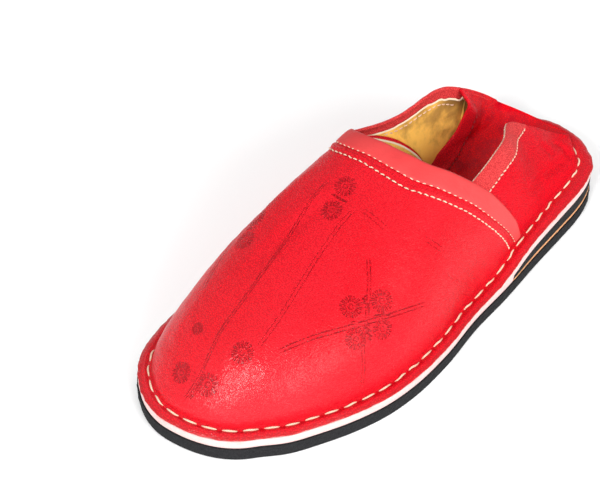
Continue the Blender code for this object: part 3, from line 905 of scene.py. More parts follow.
@dataclass(frozen=True)
class VampLeather(Finish):
    """Glossy red leather of the upper with grain, stamped flowers, tooled lines with painted shade in their
    hollows, and a back darkened by wear and painted shade.
    """

    bright: Colour = (0.82, 0.007, 0.018)
    deep: Colour = (0.30, 0.002, 0.010)
    # Reds of the trodden-down back; its darker tone is partly wear and partly painted shade
    trodden: Colour = (0.82, 0.001, 0.006)
    wine: Colour = (0.46, 0.001, 0.012)
    band: Colour = (0.80, 0.070, 0.068)
    cut: Colour = (0.50, 0.012, 0.014)
    raw: Colour = (0.88, 0.74, 0.56)

    def dress(self, n: Nodes, shader: bpy.types.Node) -> None:
        """Mixes the reds by cloud, back and hem, darkens the back as wear and painted shade, paints shade
        into the stamped and tooled hollows, and presses grain, flowers and lines in.
        """
        place = n.place()
        grain = n.group(Effects.grain(), Place=place)
        cloud = n.span(grain.outputs["Cloud"], 0.30, 0.70)
        red = n.mix(cloud, self.colour, self.bright)
        back = n.mark("back")
        blotch = n.span(n.noise(place, 95.0, 4.0, 0.62), 0.42, 0.68)
        # Darker red of the back: partly wear, partly painted shade of the trodden-down back and its fold.
        red = n.mix(n.math("MULTIPLY", back, 0.92), red, n.mix(blotch, self.trodden, self.wine))
        outside = n.mark("outside")
        strip = n.span(n.mark("hem"), 0.0097, 0.0089)
        red = n.mix(strip, red, n.mix(outside, self.bright, self.band))
        row = n.group(Effects.tooled_pair(), Side=n.mark("row_side"), Half=0.0, Depth=n.mark("row_depth"))
        thread_line = row.outputs[0]
        red = n.mix(n.math("MULTIPLY", thread_line, 0.45), red, self.deep)
        rim = n.mark("rim")
        fuzz = n.noise(place, 900.0, 3.0, 0.7)
        red = n.mix(n.math("MULTIPLY", n.span(rim, 0.0052, 0.0030), 0.15), red, self.deep)
        worn = n.math("MULTIPLY", n.span(rim, 0.0016, 0.0), n.span(fuzz, 0.2, 0.6))
        red = n.mix(worn, red, self.cut)
        beside_hem = n.span(n.mark("hem"), 0.0016, 0.0009)
        inner_edge = n.math("MULTIPLY", n.span(n.mark("inner"), 0.10, 0.35), beside_hem)
        red = n.mix(n.math("MULTIPLY", inner_edge, n.mark("cut")), red, self.raw)
        flower = n.group(Effects.flower(), Right=n.mark("flower_right"), Up=n.mark("flower_up"))
        total = n.math("MULTIPLY", flower.outputs[0], n.mark("flower_depth"))
        for one in ("first", "second"):
            marks = {name: n.mark(f"{one}_{name.lower()}") for name in ("Side", "Half", "Depth")}
            total = n.math("MAXIMUM", total, n.group(Effects.tooled_pair(), **marks).outputs[0])
        # Painted shade: the stamped flowers and tooled grooves are darkened towards the deep red, for the
        # shade in their hollows.
        red = n.mix(n.math("MULTIPLY", total, 0.22), red, self.deep)
        pores = n.span(grain.outputs["Height"], 0.58, 0.24)
        red = n.mix(n.math("MULTIPLY", pores, 0.58), red, self.deep)
        n.put(shader.inputs["Base Color"], red)
        fine = n.bump(grain.outputs["Height"], 0.00034, 1.0)
        dents = n.bump(n.noise(place, 60.0, 2.0, 0.5), 0.0012, 0.30, fine)
        tooling = n.bump(n.math("SUBTRACT", 1.0, total), 0.00065, 1.0, dents)
        seam = n.bump(n.math("SUBTRACT", 1.0, thread_line), 0.0005, 0.8, tooling)
        n.put(shader.inputs["Normal"], seam)
        gloss = n.blend(strip, n.span(grain.outputs["Cloud"], 0.2, 0.8, 0.32, 0.46), 0.55)
        gloss = n.blend(back, gloss, 0.62)
        n.put(shader.inputs["Roughness"], gloss)
        n.put(shader.inputs["Specular IOR Level"], n.blend(outside, self.shine, 0.03))
        split = n.add("ShaderNodeSeparateXYZ")
        n.put(split.inputs[0], place)
        toe = n.span(split.outputs["Y"], -0.050, -0.115)
        polish = n.blend(toe, self.coat, 0.42)
        n.put(shader.inputs["Coat Weight"], n.math("MULTIPLY", polish, n.span(outside, 0.5, 0.0)))
        ripples = n.bump(n.noise(place, 330.0, 3.0, 0.65), 0.0005, 1.0)
        n.put(shader.inputs["Coat Normal"], n.bump(grain.outputs["Height"], 0.00006, 1.0, ripples))


@dataclass(frozen=True)
class BandLeather(Finish):
    """Matt coral leather of the folded collar band."""

    pale: Colour = (0.66, 0.058, 0.058)

    def dress(self, n: Nodes, shader: bpy.types.Node) -> None:
        """Mottles the coral softly and adds fine grain and pull marks."""
        place = n.place()
        grain = n.group(Effects.grain(), Place=place)
        cloud = n.span(grain.outputs["Cloud"], 0.3, 0.7)
        n.put(shader.inputs["Base Color"], n.mix(cloud, self.colour, self.pale))
        pulls = n.bump(n.noise(place, 240.0, 3.0, 0.6), 0.0006, 0.50)
        n.put(shader.inputs["Normal"], n.bump(grain.outputs["Height"], 0.00008, 0.5, pulls))
        n.put(shader.inputs["Roughness"], n.span(grain.outputs["Cloud"], 0.2, 0.8, 0.42, 0.58))


@dataclass(frozen=True)
class Suede(Finish):
    """Flesh side of the lining leather: tan nap with a pale raw edge, and painted shade towards the fold.
    """

    dark: Colour = (0.44, 0.23, 0.05)
    raw: Colour = (0.90, 0.78, 0.58)
    # Colour of the painted shadow in the pocket beside the fold
    painted_shade: Colour = (0.12, 0.06, 0.02)

    def dress(self, n: Nodes, shader: bpy.types.Node) -> None:
        """Streaks the tan with dark nap, darkens it towards the fold as painted shade, and paints the raw
        edge by its mark.
        """
        place = n.place()
        cloud = n.noise(place, 75.0, 4.0, 0.6)
        nap = n.noise(place, 1500.0, 3.0, 0.7)
        tan = n.mix(n.span(cloud, 0.38, 0.72), self.colour, self.dark)
        tan = n.mix(n.math("MULTIPLY", n.span(nap, 0.5, 0.8), 0.12), tan, self.raw)
        # Painted shade: the tan turns near black towards the medial half of the fold, where the pocket lies
        # in shadow.
        tan = n.mix(n.span(n.mark("fold"), 0.0190, 0.0020, 0.0, 0.88), tan, self.painted_shade)
        tan = n.mix(n.span(n.mark("raw"), 0.0011, 0.0006), tan, self.raw)
        n.put(shader.inputs["Base Color"], tan)
        n.put(shader.inputs["Normal"], n.bump(nap, 0.00025, 0.6))


@dataclass(frozen=True)
class CutSheet(Finish):
    """Side and faces of a sole sheet with a rough cut edge."""

    worn: Colour = (0.040, 0.040, 0.043)
    dye: Colour = (0.85, 0.20, 0.16)
    depth: float = 0.0005
    stain: float = 0.0

    def dress(self, n: Nodes, shader: bpy.types.Node) -> None:
        """Roughens the sheet and lets its fuzz catch a paler tone."""
        place = n.place()
        edge = n.group(Effects.cut_edge(), Place=place)
        tone = n.mix(n.math("MULTIPLY", edge.outputs["Fuzz"], 0.7), self.colour, self.worn)
        if self.stain > 0:
            blot = n.span(n.noise(place, 130.0, 3.0, 0.6), 0.45, 0.75, 0.0, self.stain)
            tone = n.mix(n.math("MULTIPLY", blot, n.span(n.mark("inner"), 0.6, 0.0)), tone, self.dye)
        n.put(shader.inputs["Base Color"], tone)
        n.put(shader.inputs["Normal"], n.bump(edge.outputs["Height"], self.depth, 0.8))
        rough = n.span(edge.outputs["Height"], 0.3, 0.7, self.rough, self.rough + 0.15)
        n.put(shader.inputs["Roughness"], rough)


@dataclass(frozen=True)
class Thread(Finish):
    """Twisted thread, its plies slanting round each stitch."""

    dark: Colour = (0.55, 0.30, 0.18)

    def dress(self, n: Nodes, shader: bpy.types.Node) -> None:
        """Turns the twist mark into slanting plies."""
        ply = n.math("ABSOLUTE", n.math("SINE", n.mark("twist")))
        soil = n.noise(n.place(), 160.0, 2.0, 0.6)
        tone = n.mix(n.math("MULTIPLY", n.math("SUBTRACT", 1.0, ply), 0.6), self.colour, self.dark)
        tone = n.mix(n.span(soil, 0.55, 0.8, 0.0, 0.5), tone, self.dark)
        n.put(shader.inputs["Base Color"], tone)
        n.put(shader.inputs["Normal"], n.bump(ply, 0.0002, 0.7))


class Shape(Enum):
    """The two kinds of stitch in the slipper."""

    SOLE = (0.0098, 0.0084, 0.00046)
    MACHINE = (0.0034, 0.0028, 0.00033)

    def row(self, path: Array, outward: Array, seed: int) -> Sheet:
        """Makes a row of stitches on a path.

        Each stitch is a tube along its piece of the path. Its radius follows the root of a sine, so it is
        closed at both ends, and its middle stands above the surface while its ends dip in.

        Args:
            path: points on the surface in order.
            outward: directions out of the surface at these points.
            seed: number that fixes the small differences from stitch to stitch.

        Returns:
            The stitches as one surface.
        """
        pitch, length, radius = self.value
        rng = np.random.default_rng(seed)
        reach = np.concatenate([[0.0], np.cumsum(np.linalg.norm(np.diff(path, axis=0), axis=1))])
        count = max(2, int(round(reach[-1] / pitch)))
        middle = (np.arange(count) + 0.5) * reach[-1] / count
        size = length * reach[-1] / count / pitch * rng.uniform(0.93, 1.05, count)
        share = np.linspace(0, 1, 11)
        at = middle[:, None] + size[:, None] * (share - 0.5)
        centre = np.stack([np.interp(at, reach, path[:, k]) for k in range(3)], -1)
        out = unit(np.stack([np.interp(at, reach, outward[:, k]) for k in range(3)], -1))
        run = unit(np.gradient(centre, axis=1))
        side = unit(np.cross(run, out))
        slant = rng.normal(0, 0.35, count)[:, None] * radius * np.sin(2 * np.pi * share)
        lift = radius * (1.5 * np.sin(np.pi * share) ** 0.6 - 0.95)
        around = np.linspace(0, 2 * np.pi, 9)
        thick = (radius * np.sin(np.pi * share) ** 0.45 * (share > 0) * (share < 1))[:, None]
        high = lift[:, None] + thick * np.cos(around)
        wide = thick * 1.1 * np.sin(around)
        points = centre[:, :, None] + out[:, :, None] * high[None, :, :, None]
        points = points + side[:, :, None] * (wide[None] + slant[:, :, None])[..., None]
        twist = at[:, :, None] / (radius * 1.3) * 1.6 + around
        sheet = Sheet.from_grids(list(points), {"twist": list(twist)})
        return sheet


class Upper:
    """Leather upper: vamp, side walls, trodden-down back and turned-out edge, with its linings and band."""

    toe_rows: int = 130
    collar_rows: int = 28
    collar_reach: float = 0.022
    arch_columns: int = 130
    notch_column: int = 35
    front_columns: int = 26
    back_columns: int = 170
    panel_rows: int = 56
    flange_columns: int = 9
    fold_width: float = 0.0060
    lining_thick: float = 0.0005
    seam_out: float = 0.0015
    hem_row: float = 0.0094
    even_reach: float = 0.0022
    fold_growth: float = 0.42
    rows_apart: float = 0.0056
    roll_height: float = 0.0009
    strip_height: float = 0.0006

    def __init__(self, last: Last, ornament: "Ornament") -> None:
        """Works out the grids of the outer face."""
        self.last = last
        self.ornament = ornament
        self.turn = np.linspace(0, 1, self.arch_columns + 1)
        self.vamp = self.vamp_grid()
        self.way = self.round_heel()
        self.wall = self.wall_grid(self.vamp[0])
        self.panel = self.panel_grid(self.wall[-1])
        self.fold = self.wall[-1, self.front_columns : -self.front_columns]
        self.foot = np.concatenate([self.vamp[::-1, 0], self.wall[0, 1:-1], self.vamp[:, -1]])

    def vamp_grid(self) -> Array:
        """Grid of the vamp, collar to toe by lateral to medial foot, with close rows beside the collar."""
        last = self.last
        start = last.collar_along(self.turn)
        near = np.linspace(0, self.collar_reach, self.collar_rows)[:, None]
        left = 1 - np.linspace(0, 1, self.toe_rows + 1)[1:, None]
        reach = last.foot_ends[1] - start - self.collar_reach
        far = self.collar_reach + reach * (1 - left**1.55)
        along = start + np.concatenate([near + 0 * start, far])
        grid = last.arch(along, self.turn)
        grid[-1] = grid[-1, self.arch_columns // 2]
        grid[-1, :, 2] = last.foot_height(last.foot_ends[1])
        return grid

    def round_heel(self) -> Array:
        """Shares of the way round the heel from collar foot to collar foot, with both tips among them."""
        sizes = self.last.sizes
        front = np.linspace(0, sizes.lateral_tip, self.front_columns + 1)
        back = np.linspace(sizes.lateral_tip, sizes.medial_tip, self.back_columns + 1)[1:-1]
        return np.concatenate([front, back, np.linspace(sizes.medial_tip, 1, self.front_columns + 1)])

    def wall_grid(self, front: Array) -> Array:
        """Works out the side walls and the back up to the fold.

        A straight way from foot to crest is pushed outwards by a swell that is greatest half way up, and
        near the vamp it is drawn towards the vamp's edge.

        Args:
            front: the vamp's collar edge, whose lower ends the walls run on from.

        Returns:
            The grid, foot to crest by the way round the heel.
        """
        last = self.last
        sizes = last.sizes
        way = self.way
        middle = len(last.foot) // 2
        loop = np.roll(last.foot, middle - int(np.argmin(last.foot[:, 1])), axis=0)
        start, end = last.collar_along(np.array([0.0, 1.0]))
        after = loop[middle:]
        before = loop[:middle][::-1]
        lateral = after[after[:, 1] < start][: len(after) // 2]
        medial = before[before[:, 1] < end][: len(before) // 2]
        path = np.concatenate([lateral[::-1], medial])
        length = np.concatenate([[0], np.cumsum(np.linalg.norm(np.diff(path, axis=0), axis=1))])
        at = way * length[-1]
        foot = np.stack([np.interp(at, length, path[:, 0]), np.interp(at, length, path[:, 1])], 1)
        run = np.gradient(foot, at, axis=0)
        out = unit(np.column_stack([-run[:, 1], -run[:, 0], 0 * at]))
        crest_along = sizes.length * smooth(CREST_LINE, 1, way)
        crest_across = sizes.ball_width * smooth(CREST_LINE, 2, way)
        crest_height = last.foot_height(crest_along) + sizes.crown_height * smooth(CREST_LINE, 3, way)
        low = last.place(foot[:, 0], foot[:, 1], last.foot_height(foot[:, 1]))
        high = last.place(crest_across, crest_along, crest_height)
        share = np.linspace(0, 1, self.notch_column + 1)[:, None, None]
        swell = sizes.crown_height * smooth(CREST_LINE, 4, way)[:, None] * np.sin(np.pi * share) ** 0.8
        grid = low + (high - low) * share + out * swell
        lateral_front = front[: self.notch_column + 1]
        medial_front = front[::-1][: self.notch_column + 1]
        near = np.clip(1 - way / sizes.lateral_tip, 0, 1)[:, None] ** 2
        far = np.clip(1 - (1 - way) / (1 - sizes.medial_tip), 0, 1)[:, None] ** 2
        drawn = (lateral_front[:, None] - grid[:, :1]) * near
        grid = grid + drawn + (medial_front[:, None] - grid[:, -1:]) * far
        grid[:, 0] = lateral_front
        grid[:, -1] = medial_front
        return grid

    def panel_grid(self, crest: Array) -> Array:
        """Works out the trodden-down back from its fold to its hem.

        In plan each line runs on a curve with one control point that pulls it to the valley. Its height
        falls fast from the fold to the footbed, and lifts again where the hem stands up at the tips.

        Args:
            crest: the fold, which is the top row of the walls.

        Returns:
            The grid, fold to hem by the way round from tip to tip.
        """
        last = self.last
        sizes = last.sizes
        way = self.way[self.front_columns : -self.front_columns]
        crest = crest[self.front_columns : -self.front_columns]
        start = np.stack([crest[:, 0] + last.origin[0], last.origin[1] - crest[:, 1]], 1)
        hem_across = sizes.ball_width * smooth(HEM_LINE, 2, way)
        end = np.stack([hem_across, sizes.length * smooth(HEM_LINE, 1, way)], 1)
        run = np.linalg.norm(end - start, axis=1)
        inwards = 0.6 * (sizes.ball_width * sizes.valley_across - start[:, 0]) * np.minimum(1, run / 0.03)
        control = start + 0.3 * (end - start) + np.stack([inwards, 0 * inwards], 1)
        share = np.linspace(0, 1, self.panel_rows + 1)[:, None, None] ** 1.15
        plan = (1 - share) ** 2 * start + 2 * share * (1 - share) * control + share**2 * end
        rest = sizes.panel_clearance + sizes.wall
        lift = crest[:, 2] - last.insole_top(start[:, 1]) - rest
        hem_lift = sizes.crown_height * smooth(HEM_LINE, 3, way)
        share = share[:, :, 0]
        slack = np.clip(np.minimum(way - sizes.lateral_tip, sizes.medial_tip - way) / sizes.tip_reach, 0, 1)
        from_crest = lift * (1 - share) ** (1 + 1.4 * slack)
        height = last.insole_top(plan[:, :, 1]) + rest + from_crest + hem_lift * share ** (1 + slack)
        grid = last.place(plan[:, :, 0], plan[:, :, 1], height)
        grid[0] = crest
        grid[:, 0] = crest[0]
        grid[:, -1] = crest[-1]
        return grid

    def flange_grid(self) -> tuple[Array, Array, Array]:
        """Works out the turned-out edge round the whole foot of the upper.

        Its upper face dips along the seam, swells a little beyond it and ends in an uneven cut edge.

        Returns:
            The grid of its upper face, its underside, and the distance from its outer edge.
        """
        last = self.last
        sizes = last.sizes
        foot = self.foot[:-1]
        plan = foot[:, :2]
        run = unit(np.roll(plan, -1, axis=0) - np.roll(plan, 1, axis=0))
        outward = np.stack([run[:, 1], -run[:, 0]], 1)
        along = last.origin[1] - plan[:, 1]
        width = sizes.flange_width * smooth(FLANGE_WIDTHS, 1, along / sizes.length) - sizes.flange_margin
        width = width + 0.00025 * ripple(foot, 0.006, 3) + 0.00015 * ripple(foot, 0.0022, 4)
        share = np.linspace(0, 1, self.flange_columns)
        reach = width[:, None] * share
        outer = plan[:, None] + outward[:, None] * reach[:, :, None]
        low = last.midsole_top(last.origin[1] - outer[:, :, 1]) + sizes.gap
        dip = -0.0005 * np.exp(-(((reach - self.seam_out) / 0.0009) ** 2))
        swell = 0.0006 * np.sin(np.pi * ease(0.30, 1.0, share)) - 0.0004 * ease(0.85, 1.0, share)
        profile = (dip + swell) * ease(0.0, 0.12, share)
        upper = np.concatenate([outer, (low + sizes.wall + profile)[:, :, None]], 2)
        upper[:, 0] = foot
        inner = plan - outward * sizes.wall
        lower = np.concatenate([outer, low[:, :, None]], 2)
        lower[:, 0] = np.column_stack([inner, low[:, 0]])
        rim = width[:, None] - reach
        return tuple(np.concatenate([part, part[:1]]) for part in (upper, lower, rim))

    def free_edge(self) -> Array:
        """Hem line from the lateral notch over the lateral tip and the back's hem to the medial notch."""
        crest = self.wall[-1]
        near = crest[: self.front_columns + 1]
        far = crest[-self.front_columns - 1 :]
        return np.concatenate([near, self.panel[-1, 1:-1], far])

    def collar_edge(self) -> Array:
        """Vamp's free collar edge between the two notches."""
        return self.vamp[0, self.notch_column : self.arch_columns + 1 - self.notch_column]

    def back_columns_grid(self) -> Array:
        """Walls and back as one grid, foot to free edge by the way round; in front it has walls alone."""
        crest = self.wall[-1]
        count = self.front_columns
        rows = self.panel_rows
        near = np.repeat(crest[None, :count], rows, axis=0)
        far = np.repeat(crest[None, -count:], rows, axis=0)
        return np.concatenate([self.wall, np.concatenate([near, self.panel[1:], far], axis=1)])

    def fold_limit(self) -> Array:
        """Row number that the lining stops at in each column: none at the back, free near the tips."""
        sizes = self.last.sizes
        inside = np.minimum(self.way - sizes.lateral_tip, sizes.medial_tip - self.way)
        rows = self.notch_column + self.panel_rows
        return rows + (self.notch_column * 0.2 - rows) * ease(0.012, 0.032, inside)

    def line_at(self, columns: Array, line: Array, distance: Union[float, Array]) -> Array:
        """Finds where each column last comes as near to a line as the given distance, as a row number.

        Args:
            columns: grid whose rows run towards the line.
            line: points of the line.
            distance: one distance, or one per column.

        Returns:
            For each column, the row number with its fraction.
        """
        away = distance_to(columns.reshape(-1, 3), line).reshape(columns.shape[:2])
        clear = (away >= distance)[::-1]
        row = np.where(clear.any(axis=0), len(columns) - np.argmax(clear, axis=0), len(columns) - 1)
        row = np.clip(row, 1, len(columns) - 1)
        pick = np.arange(columns.shape[1])
        before = away[row - 1, pick]
        after = away[row, pick]
        share = np.clip((before - distance) / np.maximum(before - after, 1e-9), 0, 1)
        return row - 1 + share

    @staticmethod
    def read_rows(columns: Array, row: Array) -> Array:
        """Points of a grid's columns at row numbers with fractions, on straight ways between rows."""
        low = np.clip(np.floor(row).astype(int), 0, len(columns) - 2)
        share = (row - low)[..., None]
        pick = np.arange(columns.shape[1])
        return columns[low, pick] * (1 - share) + columns[low + 1, pick] * share

    def wall_edge(self, medial: bool) -> Array:
        """One wall's free edge, carried on straight beyond its tip, where the leather folds over."""
        crest = self.wall[-1, ::-1] if medial else self.wall[-1]
        edge = crest[: self.front_columns + 1]
        run = unit(edge[-1] - edge[-4])
        return np.concatenate([edge, edge[-1] + run * np.array([[0.01], [0.02], [0.03]])])

    def hem_rows(self, distance: float) -> list[tuple[Array, Array]]:
        """Works out the stitch rows beside the hem, evened out over a few millimetres.

        Two rows keep their distance from a wall's edge up to the fold, the third from the back's hem.

        Args:
            distance: how far the rows are from the edge.

        Returns:
            Points and outward directions of the lateral, the medial and the back's row.
        """
        rows = []
        normals = self.grid_normals(self.wall)
        for medial in (False, True):
            order = slice(None, None, -1 if medial else 1)
            wall = self.wall[:, order]
            row = self.line_at(wall, self.wall_edge(medial), distance)
            last = int(np.argmax(row > self.notch_column - 1.0))
            rows.append(self.evened(wall[:, :last], row[:last], normals[:, order][:, :last], False))
        wide = distance_to(self.panel[0], self.panel[-1]) > distance
        row = self.line_at(self.panel, self.panel[-1], distance)[wide]
        rows.append(self.evened(self.panel[:, wide], row, self.grid_normals(self.panel)[:, wide], True))
        return rows

    def evened(self, columns: Array, row: Array, normals: Array, behind: bool) -> tuple[Array, Array]:
        """Reads a line off a grid at row numbers and evens it out by a bell-shaped weight along it."""
        path = self.read_rows(columns, row)
        out = self.read_rows(normals, row)
        path = path + out * self.unevenness(path, np.full(len(row), behind))[:, None]
        reach = np.concatenate([[0.0], np.cumsum(np.linalg.norm(np.diff(path, axis=0), axis=1))])
        at = np.linspace(0, reach[-1], 400)
        weight = np.exp(-(((at[:, None] - at) / self.even_reach) ** 2))
        weight /= weight.sum(axis=1, keepdims=True)
        path = weight @ np.stack([np.interp(at, reach, path[:, k]) for k in range(3)], 1)
        return path, unit(weight @ np.stack([np.interp(at, reach, out[:, k]) for k in range(3)], 1))

    @staticmethod
    def grid_normals(columns: Array) -> Array:
        """Outward direction at each point of a grid, the same where its points meet."""
        order = np.arange(columns[..., 0].size).reshape(columns.shape[:2])
        face = Sheet.from_grids([columns], {"order": [order]})
        total = np.zeros_like(columns).reshape(-1, 3)
        total[face.marks["order"].astype(int)] = face.normals()
        keys = np.round(columns.reshape(-1, 3) * 1e7).astype(np.int64)
        _, first, index = np.unique(keys, axis=0, return_index=True, return_inverse=True)
        return total[first][index.reshape(-1)].reshape(columns.shape)

    def collar_path(self, column: int) -> tuple[Array, Array]:
        """Stitch row beside the collar and its outward directions; the column picks upper or lower row."""
        turn = np.linspace(0.012, 0.988, 420)
        along = self.last.collar_along(turn) + smooth(COLLAR_ROWS, column, turn)
        point, _, out = self.last.arch_frame(along, turn)
        return point + out * self.unevenness(point, np.zeros(len(point), bool))[:, None], out

    def crease_path(self, crease: Crease) -> Array:
        """Points of a crease's line on its part of the face."""
        first, second = through(crease.knots, 40)
        if crease.part is Part.VAMP:
            return self.last.arch(second, first)
        grid = self.wall if crease.part is Part.WALL else self.panel
        way = self.way if crease.part is Part.WALL else self.way[self.front_columns : -self.front_columns]
        column = np.interp(first, way, np.arange(len(way)))
        low = np.clip(np.floor(column).astype(int), 0, len(way) - 2)
        share = (column - low)[:, None]
        row = np.clip(second, 0, 1) * (len(grid) - 1)
        down = np.clip(np.floor(row).astype(int), 0, len(grid) - 2)
        part = (row - down)[:, None]
        near = grid[down, low] * (1 - part) + grid[down + 1, low] * part
        far = grid[down, low + 1] * (1 - part) + grid[down + 1, low + 1] * part
        return near * (1 - share) + far * share

    def unevenness(self, points: Array, behind: Array) -> Array:
        """Works out how far soft waves and the listed creases move the leather.

        Two sizes of ripple give the waves. Across its line each crease is a bell-shaped trough between two
        lower ridges, and it fades out towards both ends of the line. All of it fades at the foot and at
        the fold, where two layers lie close together.

        Args:
            points: points of the outer face.
            behind: whether each point is on the trodden-down back.

        Returns:
            The distance outwards at each point.
        """
        moved = 0.00035 * ripple(points, 0.034, 11) + 0.00012 * ripple(points, 0.011, 12)
        for crease in CREASES:
            path = self.crease_path(crease)
            reach = 4.5 * crease.width
            inside = (points > path.min(0) - reach).all(axis=1) & (points < path.max(0) + reach).all(axis=1)
            close = np.flatnonzero(inside & (behind == (crease.part is Part.BACK)))
            away = np.linalg.norm(points[close, None] - path, axis=2)
            nearest = np.argmin(away, axis=1)
            off = away[np.arange(len(close)), nearest] / crease.width
            fade = np.sin(np.pi * nearest / (len(path) - 1)) ** 0.8
            moved[close] += crease.depth * fade * (0.45 * np.exp(-((off - 1.9) ** 2)) - np.exp(-(off**2)))
        calm = ease(0.0, 0.008, distance_to(points, self.foot))
        calm = calm * ease(0.0005, 0.007, distance_to(points, self.fold))
        return moved * calm

    def shaped(self, sheet: Sheet, rows: list[Array]) -> Array:
        """Moves the outer face along its normals for the roll, the folds and soft unevenness.

        Args:
            sheet: the outer face.
            rows: the collar's two stitch rows.

        Returns:
            The distance outwards at each point.
        """
        points = sheet.points
        upper = distance_to(points, rows[0])
        lower = distance_to(points, rows[1])
        round_top = np.sin(np.pi * upper / (upper + lower + 1e-9))
        roll = self.roll_height * np.clip((self.rows_apart - upper - lower) / 0.0008, 0, 1) * round_top
        strip = self.strip_height * ease(0.0096, 0.0086, sheet.marks["hem"])
        uneven = self.unevenness(points, sheet.marks["behind"] > 0.5)
        return roll + strip + uneven * sheet.marks["soft"]

    def build(self, finish: Finish) -> bpy.types.Object:
        """Builds the leather as one closed piece with rounded edges."""
        last = self.last
        flange, flange_under, rim = self.flange_grid()
        soft = [0 * rim, *(np.ones(part.shape[:2]) for part in (self.vamp, self.wall, self.panel))]
        behind = [0 * part for part in soft]
        behind[3] = behind[3] + 1
        up = np.arange(len(self.wall))[:, None]
        back = [0 * part for part in soft]
        # Reach round the heel of the back's darker red on the crest and the back, which is partly wear and
        # partly painted shade at the fold.
        worn = ease(0.28, 0.42, self.way) * ease(0.90, 0.82, self.way)
        back[2] = ease(len(self.wall) - 9, len(self.wall) - 2, up) * worn
        down = ease(0, 7, np.arange(len(self.panel)))[:, None]
        back[3] = np.maximum(down, worn[None, self.front_columns : -self.front_columns])
        outside = [0 * part for part in soft]
        outside[2] = outside[2] + 1
        cut = [0 * part for part in soft]
        cut[2][:, : self.front_columns + 1] = 1
        far = [np.full(part.shape, 1.0) for part in soft]
        far[0] = rim
        side = [0 * part for part in soft]
        side[2] = side[2] + np.where(np.arange(len(self.way)) < len(self.way) // 2, 1, 2)
        number = [np.full(part.shape, -1.0) for part in soft]
        number[0] = np.arange(rim.size).reshape(rim.shape)
        grids = [flange, self.vamp, self.wall, self.panel]
        marks = {"soft": soft, "behind": behind, "back": back, "outside": outside, "cut": cut}
        sheet = Sheet.from_grids(grids, marks | {"rim": far, "side": side, "number": number})
        number = sheet.marks.pop("number").astype(int)
        hem = distance_to(sheet.points, self.free_edge())
        side = sheet.marks.pop("side")
        for medial in (False, True):
            own = side == 1 + medial
            hem[own] = distance_to(sheet.points[own], self.wall_edge(medial))
        sheet.marks["hem"] = hem
        rows = [self.collar_path(1)[0], self.collar_path(2)[0]]
        stitched = [self.collar_path(1), self.collar_path(2), *self.hem_rows(self.hem_row)]
        stitched = [(*row, 0.0, 1.0) for row in stitched]
        names = ("row_side", "row_half", "row_depth")
        sheet.marks |= self.ornament.nearest_line(sheet.points, stitched, names)
        sheet.marks |= self.ornament.flower_marks(sheet.points)
        sheet.marks |= self.ornament.line_marks(sheet.points)
        sheet.points = sheet.points + sheet.normals() * self.shaped(sheet, rows)[:, None]
        del sheet.marks["soft"], sheet.marks["behind"]
        body_faces = sheet.faces[(number[sheet.faces] < 0).any(axis=1)]
        body_normals = Sheet(sheet.points, body_faces).normals()
        deep = np.minimum(last.sizes.wall, 0.0004 + self.fold_growth * distance_to(sheet.points, self.fold))
        deep = np.where(sheet.marks["hem"] < 0.006, last.sizes.wall, deep)
        under = sheet.points - deep[:, None] * body_normals
        on_flange = number >= 0
        under[on_flange] = flange_under.reshape(-1, 3)[number[on_flange]]
        solid = sheet.thicken(under, 4, lambda share, at: 0.0008 * np.sin(np.pi * share) + 0 * at[:, 0])
        return solid.add("upper_leather", finish)

    def lining(
        self, columns: Array, rows: Array, side: float, name: str, finish: Finish
    ) -> bpy.types.Object:
        """Builds a lining on the inside of a grid, cut off along a wavy raw edge.

        Args:
            columns: grid of the outer face whose rows run towards the free edge.
            rows: row number at which each column is cut off.
            side: 1 where the grid's own normals point out of the slipper, else -1.
            name: the piece's name.
            finish: its finish.

        Returns:
            The lining.
        """
        share = np.linspace(0, 1, 60)[:, None] ** 0.8
        at = rows * share
        normals = self.grid_normals(columns) * side
        point = np.stack([self.read_rows(columns, row) for row in at])
        out = unit(np.stack([self.read_rows(normals, row) for row in at]))
        behind = (at > self.notch_column).reshape(-1) & (len(columns) < len(self.vamp))
        point = point + out * self.unevenness(point.reshape(-1, 3), behind).reshape(*point.shape[:2], 1)
        from_fold = distance_to(point.reshape(-1, 3), self.fold).reshape(point.shape[:2])
        room = 0.0003 + self.fold_growth * from_fold
        tips = np.minimum(*(np.linalg.norm(point - tip, axis=2) for tip in self.fold[[0, -1]]))
        room = room * (1 - 0.60 * np.exp(-((tips / 0.006) ** 2)))
        near = point - out * np.minimum(self.last.sizes.wall + 0.00002, room)[..., None]
        deep = point - out * np.minimum(self.last.sizes.wall + self.lining_thick, room + 0.0001)[..., None]
        edge = near[-1]
        raw = distance_to(near.reshape(-1, 3), edge).reshape(near.shape[:2])
        order = np.arange(raw.size).reshape(raw.shape)
        # Distance from the fold's medial half, which sets where the suede's painted shade falls.
        fold = distance_to(near.reshape(-1, 3), self.fold[len(self.fold) // 2 :]).reshape(near.shape[:2])
        sheet = Sheet.from_grids([near], {"raw": [raw], "fold": [fold], "n": [order]})
        under = deep.reshape(-1, 3)[sheet.marks.pop("n").astype(int)]
        solid = sheet.thicken(under, 1, lambda share, at: 0.0001 + 0 * at[:, 0])
        return solid.add(name, finish, 0.8)

